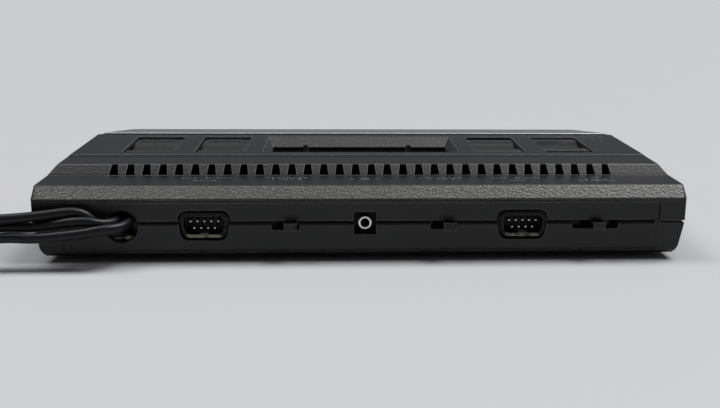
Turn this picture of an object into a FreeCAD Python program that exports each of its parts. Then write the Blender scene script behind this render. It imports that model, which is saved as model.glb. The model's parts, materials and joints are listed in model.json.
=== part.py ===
"""Slim cartridge game console with its three captive audio and video leads.

Millimetres. The console stands on its feet at z = 0, its front faces -Y and its rear
panel +Y. Heights named ..._h are above the underside of the shell, and depths named
..._u are measured forwards from the rear face.
"""
import FreeCAD
import Part
import math
import os

V = FreeCAD.Vector

# Overall case
case_width = 263.0
case_depth = 184.0
wall = 2.2
foot_height = 2.5
split_h = 13.9
edge_radius = 0.5
corner_radius = 0.8
front_corner_radius = 6.0
half_width = case_width / 2

# Rear band, legend strip, vent step and deck
band_h = 23.0
band_run = 4.8
strip_h = 28.0
strip_front_u = 24.3
step_rise = 4.0
tier_step_u = 46.8
tier_step = 0.6
tier_chamfer = 0.3
crest_u = 102.0
nose_top_h = 22.6
nose_run = 7.0
side_draft = 0.4
side_bevel = 3.8
band_groove = 0.4
band_groove_drop = 0.25

# Trim plate on the slope
plate_thickness = 0.8
plate_margin = 0.9
plate_side_margin = 2.6
plate_gap = 0.3
plate_chamfer = 0.35
plate_rear_corner = 1.5
plate_front_corner = 5.0

# Rear panel
panel_recess = 1.5
lower_panel_recess = 1.2
panel_inset = 10.2
panel_top_h = 21.45
panel_bottom_h = 1.6
rear_wall = 3.9
mouth_chamfer = 0.3
panel_chamfer = 1.2
upper_panel_end = 1.2
lower_panel_end = 2.2

# Lower case edges
lower_setback = 0.4
split_gap = 0.6
split_gap_depth = 0.9
split_chamfer = 0.5
side_tuck = 2.0
tuck_h = 3.2
bottom_chamfer = 2.0
rear_bottom_chamfer = 1.5
front_tuck = 6.0
nose_lean = 1.5
nose_lean_h = 4.5

# Vents in the step
vent_count = 32
vent_pitch = 6.72
vent_centre_x = -0.05
vent_width_low = 4.0
vent_width_high = 2.6
vent_margin = 0.05
vent_reach = 4.8

# Switch windows and their caps, measured from the photo
window_width = 22.3
window_rear_u = 53.75
window_front_u = 94.4
outer_window_inset = 36.3
window_spacing = 31.8
window_chamfer = 0.25
cap_side_gap = 0.25
cap_end_gap = 0.3
push_cap_recess = 0.9
push_strip = 9.5
push_travel = 2.0
push_body_side = 14.0
push_body_height = 7.0
push_stem_r = 2.0
push_stem_gap = 0.08
cap_skin = 1.6
cap_clearance = 0.3
hook_lap = 1.2
spring_wire_r = 0.3
spring_r = 3.6
spring_turns = 5
slide_cap_recess = 0.7
slide_cap_length = 33.0
slide_near_strip = 7.0
slide_dish_length = 20.5
slide_travel = 3.0
dish_depth = 2.2
cap_round = 0.4
shield_lap = 1.35
shield_gap = 0.5
shield_thickness = 1.6
shield_rear_lap = 5.5
shield_front_lap = 2.2
slide_body = (9.2, 18.0, 8.0)
slide_lever = (3.2, 4.0, 4.6)
slide_foot = (5.2, 6.8, 2.0)
slide_play = 0.1

# Cartridge opening
slot_half_width = 44.1
slot_rear_u = 53.5
slot_front_u = 95.3
funnel_drop = 4.2
funnel_front_run = 5.1
funnel_side_run = 2.6
well_length = 21.5
well_bottom_h = 18.0
contact_pitch = 2.54
contacts_a_row = 12
socket_height = 11.0
prong_spread = 49.4
prong_centre_x = 1.2

# Main board and its carriers
board_top_h = 6.0
board_thickness = 1.6
board_inset = 20.5
board_rear_u = 7.0
board_front_u = 124.0
board_corner = 3.0
chip_pitch = 2.54
chip_width = 13.7
board_screw_r = 1.1
board_screw_head_r = 2.6
board_rests = ((-36, 82), (36, 82), (0, 30), (-63, 110), (63, 110))

# Case screws
screw_inset = 12.5
screw_us = (13.0, 98.0, case_depth - 14.0)
screw_shank_r = 1.45
screw_head_r = 2.9
screw_head_h = 2.0
screw_drive = (1.6, 0.35)
screw_drive_depth = 1.1
screw_grip = 12.0
screw_gap = 0.05
upper_boss_r = 3.6
lower_boss_r = 5.2
boss_joint_drop = 3.3
screw_seat = 3.0
counterbore_gap = 0.4

# Feet
foot_r = 6.0
foot_pocket = 0.4
foot_gap = 0.1
foot_chamfer = 0.6
foot_inset = 27.5
foot_us = (24.0, case_depth - 24.0)

# Controller ports
port_x = 64.5
port_h = 12.1
pin_pitch = 2.77
pin_row = 2.84
pin_r = 0.5
port_opening_width = 22.0
port_opening_height = 12.1
port_opening_corner = 3.4
port_shell_gap = 1.1
port_shell_wall = 1.1
right_opening_shift = 0.5
port_corner = 2.8
port_flange_width = 30.8
port_body_depth = 6.5
port_rim_u = 1.9
port_floor_u = 8.4
pin_tip_u = 3.0

# Rear slide switches
lever_proud = 3.5
lever_width = 5.1
lever_h = 10.9
lever_height = 2.9
lever_travel = 4.2
lever_ribs = 5
lever_play = 0.3
groove_width = 0.44
groove_depth = 0.35
difficulty_x = 32.0
slot_gap = 0.85
channel_inset = 37.2
channel_slot = 19.0
channel_lever_offset = -0.6
channel_travel = 4.0
slot_floor_h = 10.4
switch_body_u = 4.6
switch_body_depth = 6.0
switch_body_height = 7.4

# Power jack
jack_h = 12.9
jack_opening_width = 8.8
jack_opening_height = 9.1
jack_bore_r = 1.75
jack_ring_r = 2.75
jack_boss_r = 3.15
jack_ring_u = 2.0
jack_face_u = 8.4
jack_depth = 11.0

# Cable outlet and leads
outlet_inset = 34.4
outlet_h = 11.7
outlet_r = 6.45
lead_d = 4.1
lead_names = ("video", "left_sound", "right_sound")
block_u = 9.5
block_depth = 6.0

# Coils of the leads
coil_from_outlet = 96.9
coil_u = 23.7
coil_outer_r = 33.2
coil_gap = 0.7
coil_entry_run = 4.1
coil_approach = 7.9
coil_turns = 7.25
coil_lift = 1.2
tie_thickness = 0.8
tie_width = 6.0

# Phono plugs
plug_r = 5.0
plug_body_length = 24.0
plug_relief_length = 13.0
plug_lift = 0.15
plug_round = 0.9
plug_grooves = 5
plug_groove_pitch = 3.0
plug_groove_depth = 0.5
plug_collar_r = 4.15
plug_pin_r = 1.6
plug_pin_length = 14.0
tie_angles = (215.0, 305.0)

rear_y = (case_depth - lever_proud) / 2
panel_half_width = half_width - panel_inset
outer_window_x = half_width - outer_window_inset
inner_window_x = outer_window_x - window_spacing
board_half_width = half_width - board_inset
screw_x = half_width - screw_inset
foot_x = half_width - foot_inset
boss_joint_h = split_h - boss_joint_drop
counterbore_h = boss_joint_h - screw_seat
difficulty_slot = lever_width + lever_travel + 2 * slot_gap
channel_x = channel_inset - half_width
channel_lever_x = channel_x + channel_lever_offset
outlet_x = half_width - outlet_inset
coil_pitch = lead_d + coil_gap
top_h = strip_h + step_rise + tier_step
slope_end_u = case_depth - nose_run
slope = (top_h - nose_top_h) / (slope_end_u - crest_u)
front_top_h = nose_top_h - nose_run
coil_centre = (outlet_x + coil_from_outlet, rear_y - coil_u)
far_below = -20.0
far_above = 100.0
far_out = 200.0

os.makedirs("parts", exist_ok=True)
nodes = {}


def yb(u):
    """Y of a place u millimetres forwards of the rear face."""
    return rear_y - u


def zb(h):
    """Z of a height h above the underside of the shell."""
    return foot_height + h


def block(x0, x1, u0, u1, h0, h1):
    """Box between two x, two depths from the rear and two heights."""
    low = V(min(x0, x1), yb(max(u0, u1)), zb(min(h0, h1)))
    return Part.makeBox(abs(x1 - x0), abs(u1 - u0), abs(h1 - h0), low)


def cylinder(x, u, h0, h1, radius):
    """Upright cylinder between two heights."""
    return Part.makeCylinder(radius, h1 - h0, V(x, yb(u), zb(h0)), V(0, 0, 1))


def rod(x, h, u0, u1, radius):
    """Cylinder that lies along Y, from depth u0 to the deeper u1."""
    return Part.makeCylinder(radius, u1 - u0, V(x, yb(u0), zb(h)), V(0, -1, 0))


def side_prism(points, x0, x1):
    """Solid from a closed outline of (u, h) points, carried along X."""
    wire = Part.makePolygon([V(x0, yb(u), zb(h)) for u, h in points + points[:1]])
    return Part.Face(wire).extrude(V(x1 - x0, 0, 0))


def rear_prism(points, u0, u1):
    """Solid from a closed outline of (x, h) points, carried forwards from u0 to u1."""
    wire = Part.makePolygon([V(x, yb(u0), zb(h)) for x, h in points + points[:1]])
    return Part.Face(wire).extrude(V(0, u0 - u1, 0))


def mirrored(points):
    """An outline's right half with its mirror image, as one closed outline."""
    return points + [(-x, h) for x, h in reversed(points)]


def keep(name, shape):
    """Store one sub-part under its node name."""
    nodes[name] = shape


def group(shapes):
    return Part.makeCompound(shapes)


def upper_body(inset, rear_inset, radius):
    """The upper case's outer form, or its hollow when it is inset by a wall."""
    diagonal = inset * (math.sqrt(2) - 1)
    deck = top_h - inset
    rise = step_rise + tier_step
    side = [
        (rear_inset, far_below), (rear_inset, band_h - diagonal),
        (band_run + rear_inset, strip_h - inset), (strip_front_u + diagonal, strip_h - inset),
        (strip_front_u + rise + diagonal, deck), (crest_u, deck),
        (slope_end_u - diagonal, deck - slope * (slope_end_u - crest_u - diagonal)),
        (case_depth - inset, front_top_h - diagonal), (case_depth - inset, far_below),
    ]
    profile = rounded_outline([V(-half_width, yb(u), zb(h)) for u, h in side], radius)
    across = Part.Face(profile).extrude(V(case_width, 0, 0))
    edge = half_width - inset
    half = [(edge, far_below), (edge, band_h), (edge - side_draft, strip_h - diagonal),
            (edge - side_draft - side_bevel, deck)]
    section = mirrored(half)
    rear = Part.Face(rounded_outline([V(x, yb(0), zb(h)) for x, h in section], radius))
    crest = Part.Face(rounded_outline([V(x, yb(crest_u), zb(h)) for x, h in section], radius))
    run = case_depth - crest_u
    along = rear.extrude(V(0, -crest_u, 0)).fuse(crest.extrude(V(0, -run, -slope * run)))
    return across.common(along)


def plan_block(inset, low, high):
    """Upright block with the case's rounded corners, or its inside, between two heights."""
    edge = half_width - inset
    body = block(-edge, edge, 0, case_depth - inset, low, high)
    body = body.makeFillet(front_corner_radius - inset, upright_edges(body, False))
    return body if inset else body.makeFillet(corner_radius, upright_edges(body, True))


def upright_edges(body, at_rear):
    """Upright edges of a block at its rear face, or those at its front."""
    rear = yb(0) - 0.01
    return [e for e in body.Edges if e.BoundBox.ZLength > 1 and (e.BoundBox.YMin > rear) == at_rear]


def plan_prism(points, h0, h1):
    """Solid from a closed outline of (x, u) points, carried up between two heights."""
    wire = Part.makePolygon([V(x, yb(u), zb(h0)) for x, u in points + points[:1]])
    return Part.Face(wire).extrude(V(0, 0, h1 - h0))


def panel_recess_cut(depth, end, h0, h1):
    """Shallow recess across the rear face, with sloped ends."""
    half = panel_half_width
    return plan_prism([(-half, 0), (half, 0), (half - end, depth), (end - half, depth)], h0, h1)


def d_outline(width, height, corner, slant_degrees):
    """Points and arcs of a D-shaped port outline centred on (0, 0), wider at the top."""
    slant = math.tan(math.radians(slant_degrees)) * height / 2
    corners = [
        (-width / 2, height / 2), (width / 2, height / 2),
        (width / 2 - 2 * slant, -height / 2), (-width / 2 + 2 * slant, -height / 2),
    ]
    return rounded_outline([V(x, 0, z) for x, z in corners], corner)


def rounded_outline(points, radius):
    """Closed wire through points in one plane, with its real corners rounded."""
    count = len(points)
    starts, middles, ends = [], [], []
    for i in range(count):
        here = points[i]
        to_before = (points[i - 1] - here).normalize()
        to_after = (points[(i + 1) % count] - here).normalize()
        half_angle = math.acos(max(-1.0, min(1.0, to_before.dot(to_after)))) / 2
        if radius <= 0 or half_angle > math.radians(84):
            starts.append(here)
            middles.append(None)
            ends.append(here)
            continue
        reach = radius / math.tan(half_angle)
        inward = (to_before + to_after).normalize()
        starts.append(here + to_before * reach)
        middles.append(here + inward * (radius / math.sin(half_angle) - radius))
        ends.append(here + to_after * reach)
    edges = []
    for i in range(count):
        if middles[i] is not None:
            edges.append(Part.Arc(starts[i], middles[i], ends[i]).toShape())
        edges.append(Part.LineSegment(ends[i], starts[(i + 1) % count]).toShape())
    return Part.Wire(edges)


def d_wire(x, h, u, width, height, corner, slant_degrees=10.0):
    """A D outline centred on (x, h) at depth u."""
    wire = d_outline(width, height, corner, slant_degrees)
    wire.translate(V(x, yb(u), zb(h)))
    return wire


def d_prism(x, h, u0, u1, width, height, corner):
    """A D outline carried forwards from depth u0 to the deeper u1."""
    return Part.Face(d_wire(x, h, u0, width, height, corner)).extrude(V(0, u0 - u1, 0))


def rear_rectangle(half, high, u):
    """Outline of the jack's opening at depth u, a half width and half height from its centre."""
    corners = [(-half, jack_h - high), (half, jack_h - high), (half, jack_h + high), (-half, jack_h + high)]
    return Part.makePolygon([V(x, yb(u), zb(h)) for x, h in corners + corners[:1]])


def rear_openings(face_u):
    """Port, jack and cable openings through a shell's rear wall, chamfered at its face."""
    c = mouth_chamfer
    outer_u, inner_u = face_u - c, face_u + c
    cuts = []
    for x in (port_x, right_opening_shift - port_x):
        size = (port_opening_width, port_opening_height, port_opening_corner)
        flared = (size[0] + 4 * c, size[1] + 4 * c, size[2] + 2 * c)
        cuts.append(d_prism(x, port_h, 0, rear_wall, *size))
        cuts.append(Part.makeLoft([d_wire(x, port_h, outer_u, *flared), d_wire(x, port_h, inner_u, *size)],
                                  True, True))
    half, high = jack_opening_width / 2, jack_opening_height / 2
    cuts.append(block(-half, half, 0, rear_wall, jack_h - high, jack_h + high))
    cuts.append(Part.makeLoft([rear_rectangle(half + 2 * c, high + 2 * c, outer_u),
                               rear_rectangle(half, high, inner_u)], True, True))
    cuts.append(rod(outlet_x, outlet_h, 0, rear_wall, outlet_r))
    mouth = V(outlet_x, yb(outer_u), zb(outlet_h))
    cuts.append(Part.makeCone(outlet_r + 2 * c, outlet_r, 2 * c, mouth, V(0, -1, 0)))
    return cuts


def boss_places():
    return [(side * screw_x, u) for u in screw_us for side in (1, -1)]


def window_cut(x):
    """Opening through the deck, with a small chamfer round its upper edge."""
    half, c = window_width / 2, window_chamfer
    hole = block(x - half, x + half, window_rear_u, window_front_u, top_h - 2 * wall, top_h)
    low = rect_wire(x - half, x + half, window_rear_u, window_front_u, top_h - c)
    high = rect_wire(x - half - c, x + half + c, window_rear_u - c, window_front_u + c, top_h)
    return hole.fuse(Part.makeLoft([low, high], True, True))


def vent_slot(x):
    """One slot through the step: wider at its foot, cut square to the step's face."""
    return Part.makeLoft([vent_outline(x, wall), vent_outline(x, -vent_reach)], True, True)


def vent_outline(x, out):
    """A vent slot's outline, moved out of the step's face by a distance."""
    shift = out / math.sqrt(2)
    low, high = vent_margin, step_rise - vent_margin
    places = [(-vent_width_low / 2, low), (vent_width_low / 2, low),
              (vent_width_high / 2, high), (-vent_width_high / 2, high), (-vent_width_low / 2, low)]
    return Part.makePolygon([V(x + dx, yb(strip_front_u + h - shift), zb(strip_h + h + shift))
                             for dx, h in places])


def make_upper_case():
    outer = upper_body(0, 0, edge_radius).common(plan_block(0, split_h, far_above))
    hollow = upper_body(wall, rear_wall, 0).common(plan_block(wall, 0, far_above))
    low_tier = block(-far_out, far_out, 0, tier_step_u, top_h - tier_step, far_above)
    tier_edge = side_prism([(tier_step_u, top_h - tier_chamfer), (tier_step_u + tier_chamfer, top_h),
                            (tier_step_u, far_above)], -far_out, far_out)
    shell = outer.cut(hollow).cut([low_tier, tier_edge])

    # Walls round the cartridge opening: a shelf under the funnel and the well below it
    shelf_h = top_h - funnel_drop
    well_half = slot_half_width - funnel_side_run
    well_front = slot_front_u - funnel_front_run
    well_rear = well_front - well_length
    tub = block(-slot_half_width - wall, slot_half_width + wall, slot_rear_u - wall,
                slot_front_u + wall, shelf_h - wall, top_h - wall / 2)
    well = block(-well_half - wall, well_half + wall, well_rear - wall, well_front + wall,
                 well_bottom_h, shelf_h)
    pillars = []
    for x, u in boss_places():
        pillars.append(cylinder(x, u, split_h, top_h, upper_boss_r).common(outer))
        pillars.append(cylinder(x, u, boss_joint_h, split_h, upper_boss_r))
    shell = shell.fuse([tub, well] + pillars)

    top = rect_wire(-slot_half_width, slot_half_width, slot_rear_u, slot_front_u, top_h)
    low = rect_wire(-well_half, well_half, slot_rear_u, well_front, shelf_h)
    funnel = Part.makeLoft([top, low], True, True)
    cuts = [funnel, block(-well_half, well_half, well_rear, well_front, well_bottom_h, shelf_h)]
    cuts += [window_cut(s * x) for x in (inner_window_x, outer_window_x) for s in (1, -1)]
    first = vent_centre_x - vent_pitch * (vent_count - 1) / 2
    cuts += [vent_slot(first + i * vent_pitch) for i in range(vent_count)]
    cuts.append(panel_recess_cut(panel_recess, upper_panel_end, split_h, panel_top_h))
    groove_top = band_h - band_groove_drop
    cuts.append(block(-far_out, far_out, 0, band_groove, groove_top - band_groove, groove_top))
    cuts += rear_openings(panel_recess)
    for x, u in boss_places():
        cuts.append(cylinder(x, u, boss_joint_h, boss_joint_h + screw_grip + 1, screw_shank_r + screw_gap))
    keep("upper_case", shell.cut(cuts).removeSplitter())


def rect_wire(x0, x1, u0, u1, h):
    corners = [(x0, u0), (x1, u0), (x1, u1), (x0, u1), (x0, u0)]
    return Part.makePolygon([V(x, yb(u), zb(h)) for x, u in corners])


def lower_body(inset, rear_inset):
    """The lower case's outer form with the gap below the split, or its hollow when inset by a wall."""
    edge, front = half_width - lower_setback - inset, case_depth - inset
    rims = [(0, split_h)] if inset else split_rim()
    half = [(edge - bottom_chamfer - side_tuck, inset), (edge - side_tuck, inset + tuck_h)]
    half += [(edge - back, h) for back, h in rims]
    across = rear_prism(mirrored(half), 0, case_depth)
    outline = [(rear_inset + back, h) for back, h in reversed(rims)]
    outline += [(rear_inset, inset + rear_bottom_chamfer), (rear_inset + rear_bottom_chamfer, inset),
                (front - front_tuck, inset), (front - nose_lean, inset + nose_lean_h)]
    outline += [(front - back, h) for back, h in rims]
    return across.common(side_prism(outline, -half_width, half_width)).common(plan_block(inset, 0, split_h))


def split_rim():
    """The lower case's rim from below up: a chamfer, then a rebate that leaves a gap at the split."""
    low = split_h - split_gap
    return [(0, low - split_chamfer), (split_chamfer, low), (split_gap_depth, low), (split_gap_depth, split_h)]


def make_lower_case():
    shell = lower_body(0, 0).cut(lower_body(wall, rear_wall))
    board_low = board_top_h - board_thickness
    bosses = [cylinder(x, u, wall / 2, boss_joint_h, lower_boss_r) for x, u in boss_places()]
    posts = [cylinder(x, u, wall / 2, board_low, 3.4) for x, u in board_screw_places()]
    rests = [block(x - 2, x + 2, u - 2, u + 2, wall / 2, board_low) for x, u in board_rests]
    shell = shell.fuse(bosses + posts + rests)
    cuts = []
    for x, u in boss_places():
        cuts.append(cylinder(x, u, 0, counterbore_h, screw_head_r + counterbore_gap))
        cuts.append(cylinder(x, u, 0, boss_joint_h, screw_shank_r + counterbore_gap))
    for x, u in board_screw_places():
        cuts.append(cylinder(x, u, wall, board_low, board_screw_r + screw_gap))
    cuts.append(panel_recess_cut(lower_panel_recess, lower_panel_end, panel_bottom_h, split_h))
    edge, low, half = lower_panel_recess, split_h - split_gap, panel_half_width - lower_panel_end
    deep = edge + panel_chamfer
    chamfer = [(edge, low - panel_chamfer), (edge, split_h), (deep + split_gap, split_h),
               (deep + split_gap, low), (deep, low)]
    cuts.append(side_prism(chamfer, -half, half))
    slots = [(difficulty_x, difficulty_slot), (-difficulty_x, difficulty_slot), (channel_x, channel_slot)]
    lip = [(edge - mouth_chamfer, slot_floor_h - 2 * mouth_chamfer), (edge - mouth_chamfer, slot_floor_h),
           (edge + mouth_chamfer, slot_floor_h)]
    for x, width in slots:
        cuts.append(block(x - width / 2, x + width / 2, 0, rear_wall, slot_floor_h, split_h))
        cuts.append(side_prism(lip, x - width / 2, x + width / 2))
    cuts += rear_openings(lower_panel_recess)
    for x, u in foot_places():
        cuts.append(cylinder(x, u, 0, foot_pocket, foot_r + foot_gap))
    keep("lower_case", shell.cut(cuts).removeSplitter())


def foot_places():
    return [(side * foot_x, u) for u in foot_us for side in (1, -1)]


def board_screw_places():
    edge = board_half_width - 7.0
    front = board_front_u - 5.0
    return [(edge, 40.0), (-edge, 52.0), (edge, front), (-edge, front)]


def make_front_plate():
    """Thin metal trim that lies on the sloping front, a little proud of the crest."""
    half = half_width - side_draft - side_bevel - plate_side_margin
    ends = (crest_u + plate_gap, slope_end_u - plate_margin)
    low = [(u, slope_h(u) + plate_gap / 10) for u in ends]
    high = [(u, h + plate_thickness) for u, h in reversed(low)]
    plate = side_prism(low + high, -half, half)
    for at_rear, radius in ((True, plate_rear_corner), (False, plate_front_corner)):
        corners = [e for e in plate.Edges if abs(e.Length - plate_thickness) < 0.1
                   and (e.BoundBox.YMin > yb(ends[0]) - 0.01) == at_rear]
        plate = plate.makeFillet(radius, corners)
    top = max((f for f in plate.Faces if f.Area > 1000), key=lambda f: f.CenterOfMass.z)
    keep("front_trim_plate", plate.makeChamfer(plate_chamfer, top.OuterWire.Edges))


def slope_h(u):
    """Height of the sloping front's surface at depth u."""
    return top_h - slope * (u - crest_u)


def make_feet_and_screws():
    feet = []
    for x, u in foot_places():
        foot = Part.makeCylinder(foot_r, foot_height + foot_pocket, V(x, yb(u), 0), V(0, 0, 1))
        rim = [e for e in foot.Edges if e.BoundBox.ZMax < 0.01]
        feet.append(foot.makeChamfer(foot_chamfer, rim))
    keep("rubber_feet", group(feet))
    screws = []
    for x, u in boss_places():
        low = counterbore_h - screw_head_h
        head = cylinder(x, u, low, counterbore_h, screw_head_r)
        shank = cylinder(x, u, counterbore_h, boss_joint_h + screw_grip, screw_shank_r)
        screws.append(head.fuse(shank).cut(cross_cuts(x, u, low, low + screw_drive_depth, screw_drive)))
    keep("case_screws", group(screws))


def cross_cuts(x, u, h0, h1, size):
    """Two crossed slots for a screwdriver."""
    long, thin = size
    return [block(x - long, x + long, u - thin, u + thin, h0, h1),
            block(x - thin, x + thin, u - long, u + long, h0, h1)]


def scoop(x, u0, u1, surface_h, depth, half):
    """Cylinder that hollows a finger dish between two depths, across a cap."""
    chord = (u1 - u0) / 2
    radius = (chord ** 2 + depth ** 2) / (2 * depth)
    centre = V(x - half - 1, yb((u0 + u1) / 2), zb(surface_h - depth + radius))
    return Part.makeCylinder(radius, 2 * half + 2, centre, V(1, 0, 0))


def window_cap(x, u0, u1, low, surface, dish):
    """Cap that fills a window across, with softened rims and a finger dish."""
    half = window_width / 2 - cap_side_gap
    cap = block(x - half, x + half, u0, u1, low, surface)
    rims = [e for e in cap.Edges if e.BoundBox.ZMin > zb(surface) - 0.01]
    return cap.makeFillet(cap_round, rims).cut(scoop(x, dish[0], dish[1], surface, dish_depth, half))


def make_push_switch(name, x):
    """A dished cap that slides down in its window, its spring and its switch body."""
    surface = top_h - push_cap_recess
    u0, u1 = window_rear_u + cap_end_gap, window_front_u - cap_end_gap
    hook_top = top_h - wall - cap_clearance
    low = hook_top - cap_skin
    cap = window_cap(x, u0, u1, low, surface, (u0 + push_strip, u1 - push_strip))
    half = window_width / 2 - cap_side_gap
    pocket = block(x - half + cap_skin, x + half - cap_skin, u0 + cap_skin, u1 - cap_skin, low, low + 0.5)
    hooks = block(x - half + 2, x + half - 2, u0 - hook_lap, u1 + hook_lap, low, hook_top)
    middle = (u0 + u1) / 2
    body_top = board_top_h + push_body_height
    stem_low = body_top - push_travel - 1.6
    seat = low - 3.0
    stem = cylinder(x, middle, stem_low, low + 1, push_stem_r)
    shoulder = cylinder(x, middle, seat, low + 1, spring_r + 1)
    keep(name + "_button_cap", cap.cut(pocket).fuse([hooks, shoulder, stem]).removeSplitter())

    side = push_body_side / 2
    body = block(x - side, x + side, middle - side, middle + side, board_top_h, body_top)
    collar = cylinder(x, middle, body_top, body_top + 1.6, spring_r - 0.7)
    well = cylinder(x, middle, stem_low - push_travel - 0.6, body_top + 1.6, push_stem_r + push_stem_gap)
    keep(name + "_switch_body", body.fuse(collar).cut(well).removeSplitter())
    keep(name + "_return_spring", spring(x, middle, body_top + 0.1, seat - 0.1))


def spring(x, u, low, high):
    """Open coil spring of round wire that stands between two heights."""
    height = high - low - 2 * spring_wire_r
    helix = Part.makeHelix(height / spring_turns, height, spring_r)
    profile = Part.Wire(Part.makeCircle(spring_wire_r, helix.Vertexes[0].Point, V(0, 1, 0)))
    coil = Part.Wire(helix).makePipeShell([profile], True, True)
    coil.translate(V(x, yb(u), zb(low) + spring_wire_r))
    return coil


def centred_block(x, u, h0, h1, width, depth):
    return block(x - width / 2, x + width / 2, u - depth / 2, u + depth / 2, h0, h1)


def make_slide_switch(name, x, forward):
    """A dished cap on a slide switch, at its rear stop or pushed forwards."""
    surface = top_h - slide_cap_recess
    u1 = window_front_u - cap_end_gap - (0 if forward else slide_travel)
    u0 = u1 - slide_cap_length
    shield_top = top_h - wall - shield_gap
    shield_low = shield_top - shield_thickness
    dish = (u0 + slide_near_strip, u0 + slide_near_strip + slide_dish_length)
    cap = window_cap(x, u0, u1, shield_low, surface, dish)
    wide = window_width / 2 + shield_lap
    shield = block(x - wide, x + wide, u0 - shield_rear_lap, u1 + slide_travel + shield_front_lap,
                   shield_low, shield_top)

    middle = (window_rear_u + window_front_u) / 2
    lever_u = middle + (slide_travel / 2 if forward else -slide_travel / 2)
    body_width, body_depth, body_height = slide_body
    width, depth, grip = slide_lever
    top = board_top_h + body_height
    stem = centred_block(x, lever_u, top + 0.6, shield_low, 8, 8)
    socket = centred_block(x, lever_u, top + 0.6, top + grip, width + 2 * slide_play, depth + 2 * slide_play)
    keep(name + "_switch_cap", cap.fuse([shield, stem]).cut(socket).removeSplitter())

    foot_width, foot_depth, foot_thick = slide_foot
    lever = centred_block(x, lever_u, top - 2, top + grip, width, depth)
    foot = centred_block(x, lever_u, top - 2 - foot_thick, top - 2, foot_width, foot_depth)
    keep(name + "_switch_lever", lever.fuse(foot).removeSplitter())

    room = slide_travel + 6 * slide_play
    body = centred_block(x, middle, board_top_h, top, body_width, body_depth)
    hollow = centred_block(x, middle, top - 2.2 - foot_thick, top - 1, foot_width + 0.4, foot_depth + room)
    mouth = centred_block(x, middle, top - 1, top, width + 0.4, depth + room)
    keep(name + "_switch_body", body.cut([hollow, mouth]).removeSplitter())


def make_rear_switch(name, lever_x, travel):
    """A small slide switch behind the rear panel, with its ribbed lever."""
    middle_x = lever_x + travel / 2
    u0, u1 = switch_body_u, switch_body_u + switch_body_depth
    low, high = lever_h, lever_h + lever_height
    body_high = (low + high + switch_body_height) / 2
    neck_width = lever_width - 1.2
    foot_width = lever_width + 1.4
    room = travel + 2 * lever_play
    neck_u, foot_u = u0 + 1.5, u0 + 3.9
    body = block(middle_x - 8, middle_x + 8, u0, u1, board_top_h, body_high)
    mouth = slot_block(middle_x, u0, neck_u, low - 0.2, high + 0.2, neck_width + room)
    hollow = slot_block(middle_x, neck_u - lever_play, foot_u + lever_play, low - 0.8, high + 0.8, foot_width + room)
    keep(name + "_switch_body", body.cut([mouth, hollow]).removeSplitter())

    knob = slot_block(lever_x, -lever_proud, u0 - 0.4, low, high, lever_width)
    rib_pitch = lever_width / lever_ribs
    first = lever_x - rib_pitch * (lever_ribs - 1) / 2
    grooves = [slot_block(first + i * rib_pitch, -lever_proud, groove_depth - lever_proud, low, high, groove_width)
               for i in range(lever_ribs)]
    neck = slot_block(lever_x, u0 - 0.4, neck_u, low, high, neck_width)
    foot = slot_block(lever_x, neck_u, foot_u, low - 0.5, high + 0.5, foot_width)
    keep(name + "_switch_lever", knob.cut(grooves).fuse([neck, foot]).removeSplitter())


def slot_block(x, u0, u1, h0, h1, width):
    return block(x - width / 2, x + width / 2, u0, u1, h0, h1)


def make_port(name, x):
    """Nine-pin controller port: a D-shaped shell with its pins inside."""
    width = port_opening_width - 2 * port_shell_gap
    height = port_opening_height - 2 * port_shell_gap
    shell = d_prism(x, port_h, port_rim_u, port_floor_u, width, height, port_corner)
    hollow = d_prism(x, port_h, port_rim_u, port_floor_u, width - 2 * port_shell_wall,
                     height - 2 * port_shell_wall, port_corner - port_shell_wall / 2)
    flange_u = rear_wall + 0.3
    back_u = port_floor_u + port_body_depth
    flange = slot_block(x, flange_u, flange_u + 2.5, board_top_h, port_h + 6.0, port_flange_width)
    flange = flange.cut(hollow)
    back = slot_block(x, port_floor_u, back_u, board_top_h, port_h + 5.2, width)
    cheeks = slot_block(x, flange_u, back_u, board_top_h, board_top_h + 2, port_flange_width).cut(hollow)
    pins, holes = [], []
    rows = [(2, port_h + pin_row / 2, port_floor_u + 5.2), (1.5, port_h - pin_row / 2, port_floor_u + 2.6)]
    for reach, h, bend_u in rows:
        for i in range(int(2 * reach) + 1):
            pin_x = x + (i - reach) * pin_pitch
            bend = V(pin_x, yb(bend_u), zb(h))
            pin = bent_wire(V(pin_x, yb(pin_tip_u), zb(h)), bend, V(pin_x, yb(bend_u), zb(board_top_h)), pin_r)
            nose = [e for e in pin.Edges if e.BoundBox.YMin > yb(pin_tip_u) - 0.01]
            pins.append(pin.makeChamfer(0.25, nose))
            holes.append(rod(pin_x, h, port_floor_u - 1, bend_u + pin_r + 0.1, pin_r + 0.05))
            holes.append(cylinder(pin_x, bend_u, board_top_h - 1, h + pin_r, pin_r + 0.1))
    solid = shell.cut(hollow).fuse([flange, back, cheeks]).cut(holes)
    keep(name + "_port_shell", solid.removeSplitter())
    keep(name + "_port_pins", group(pins))


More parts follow.
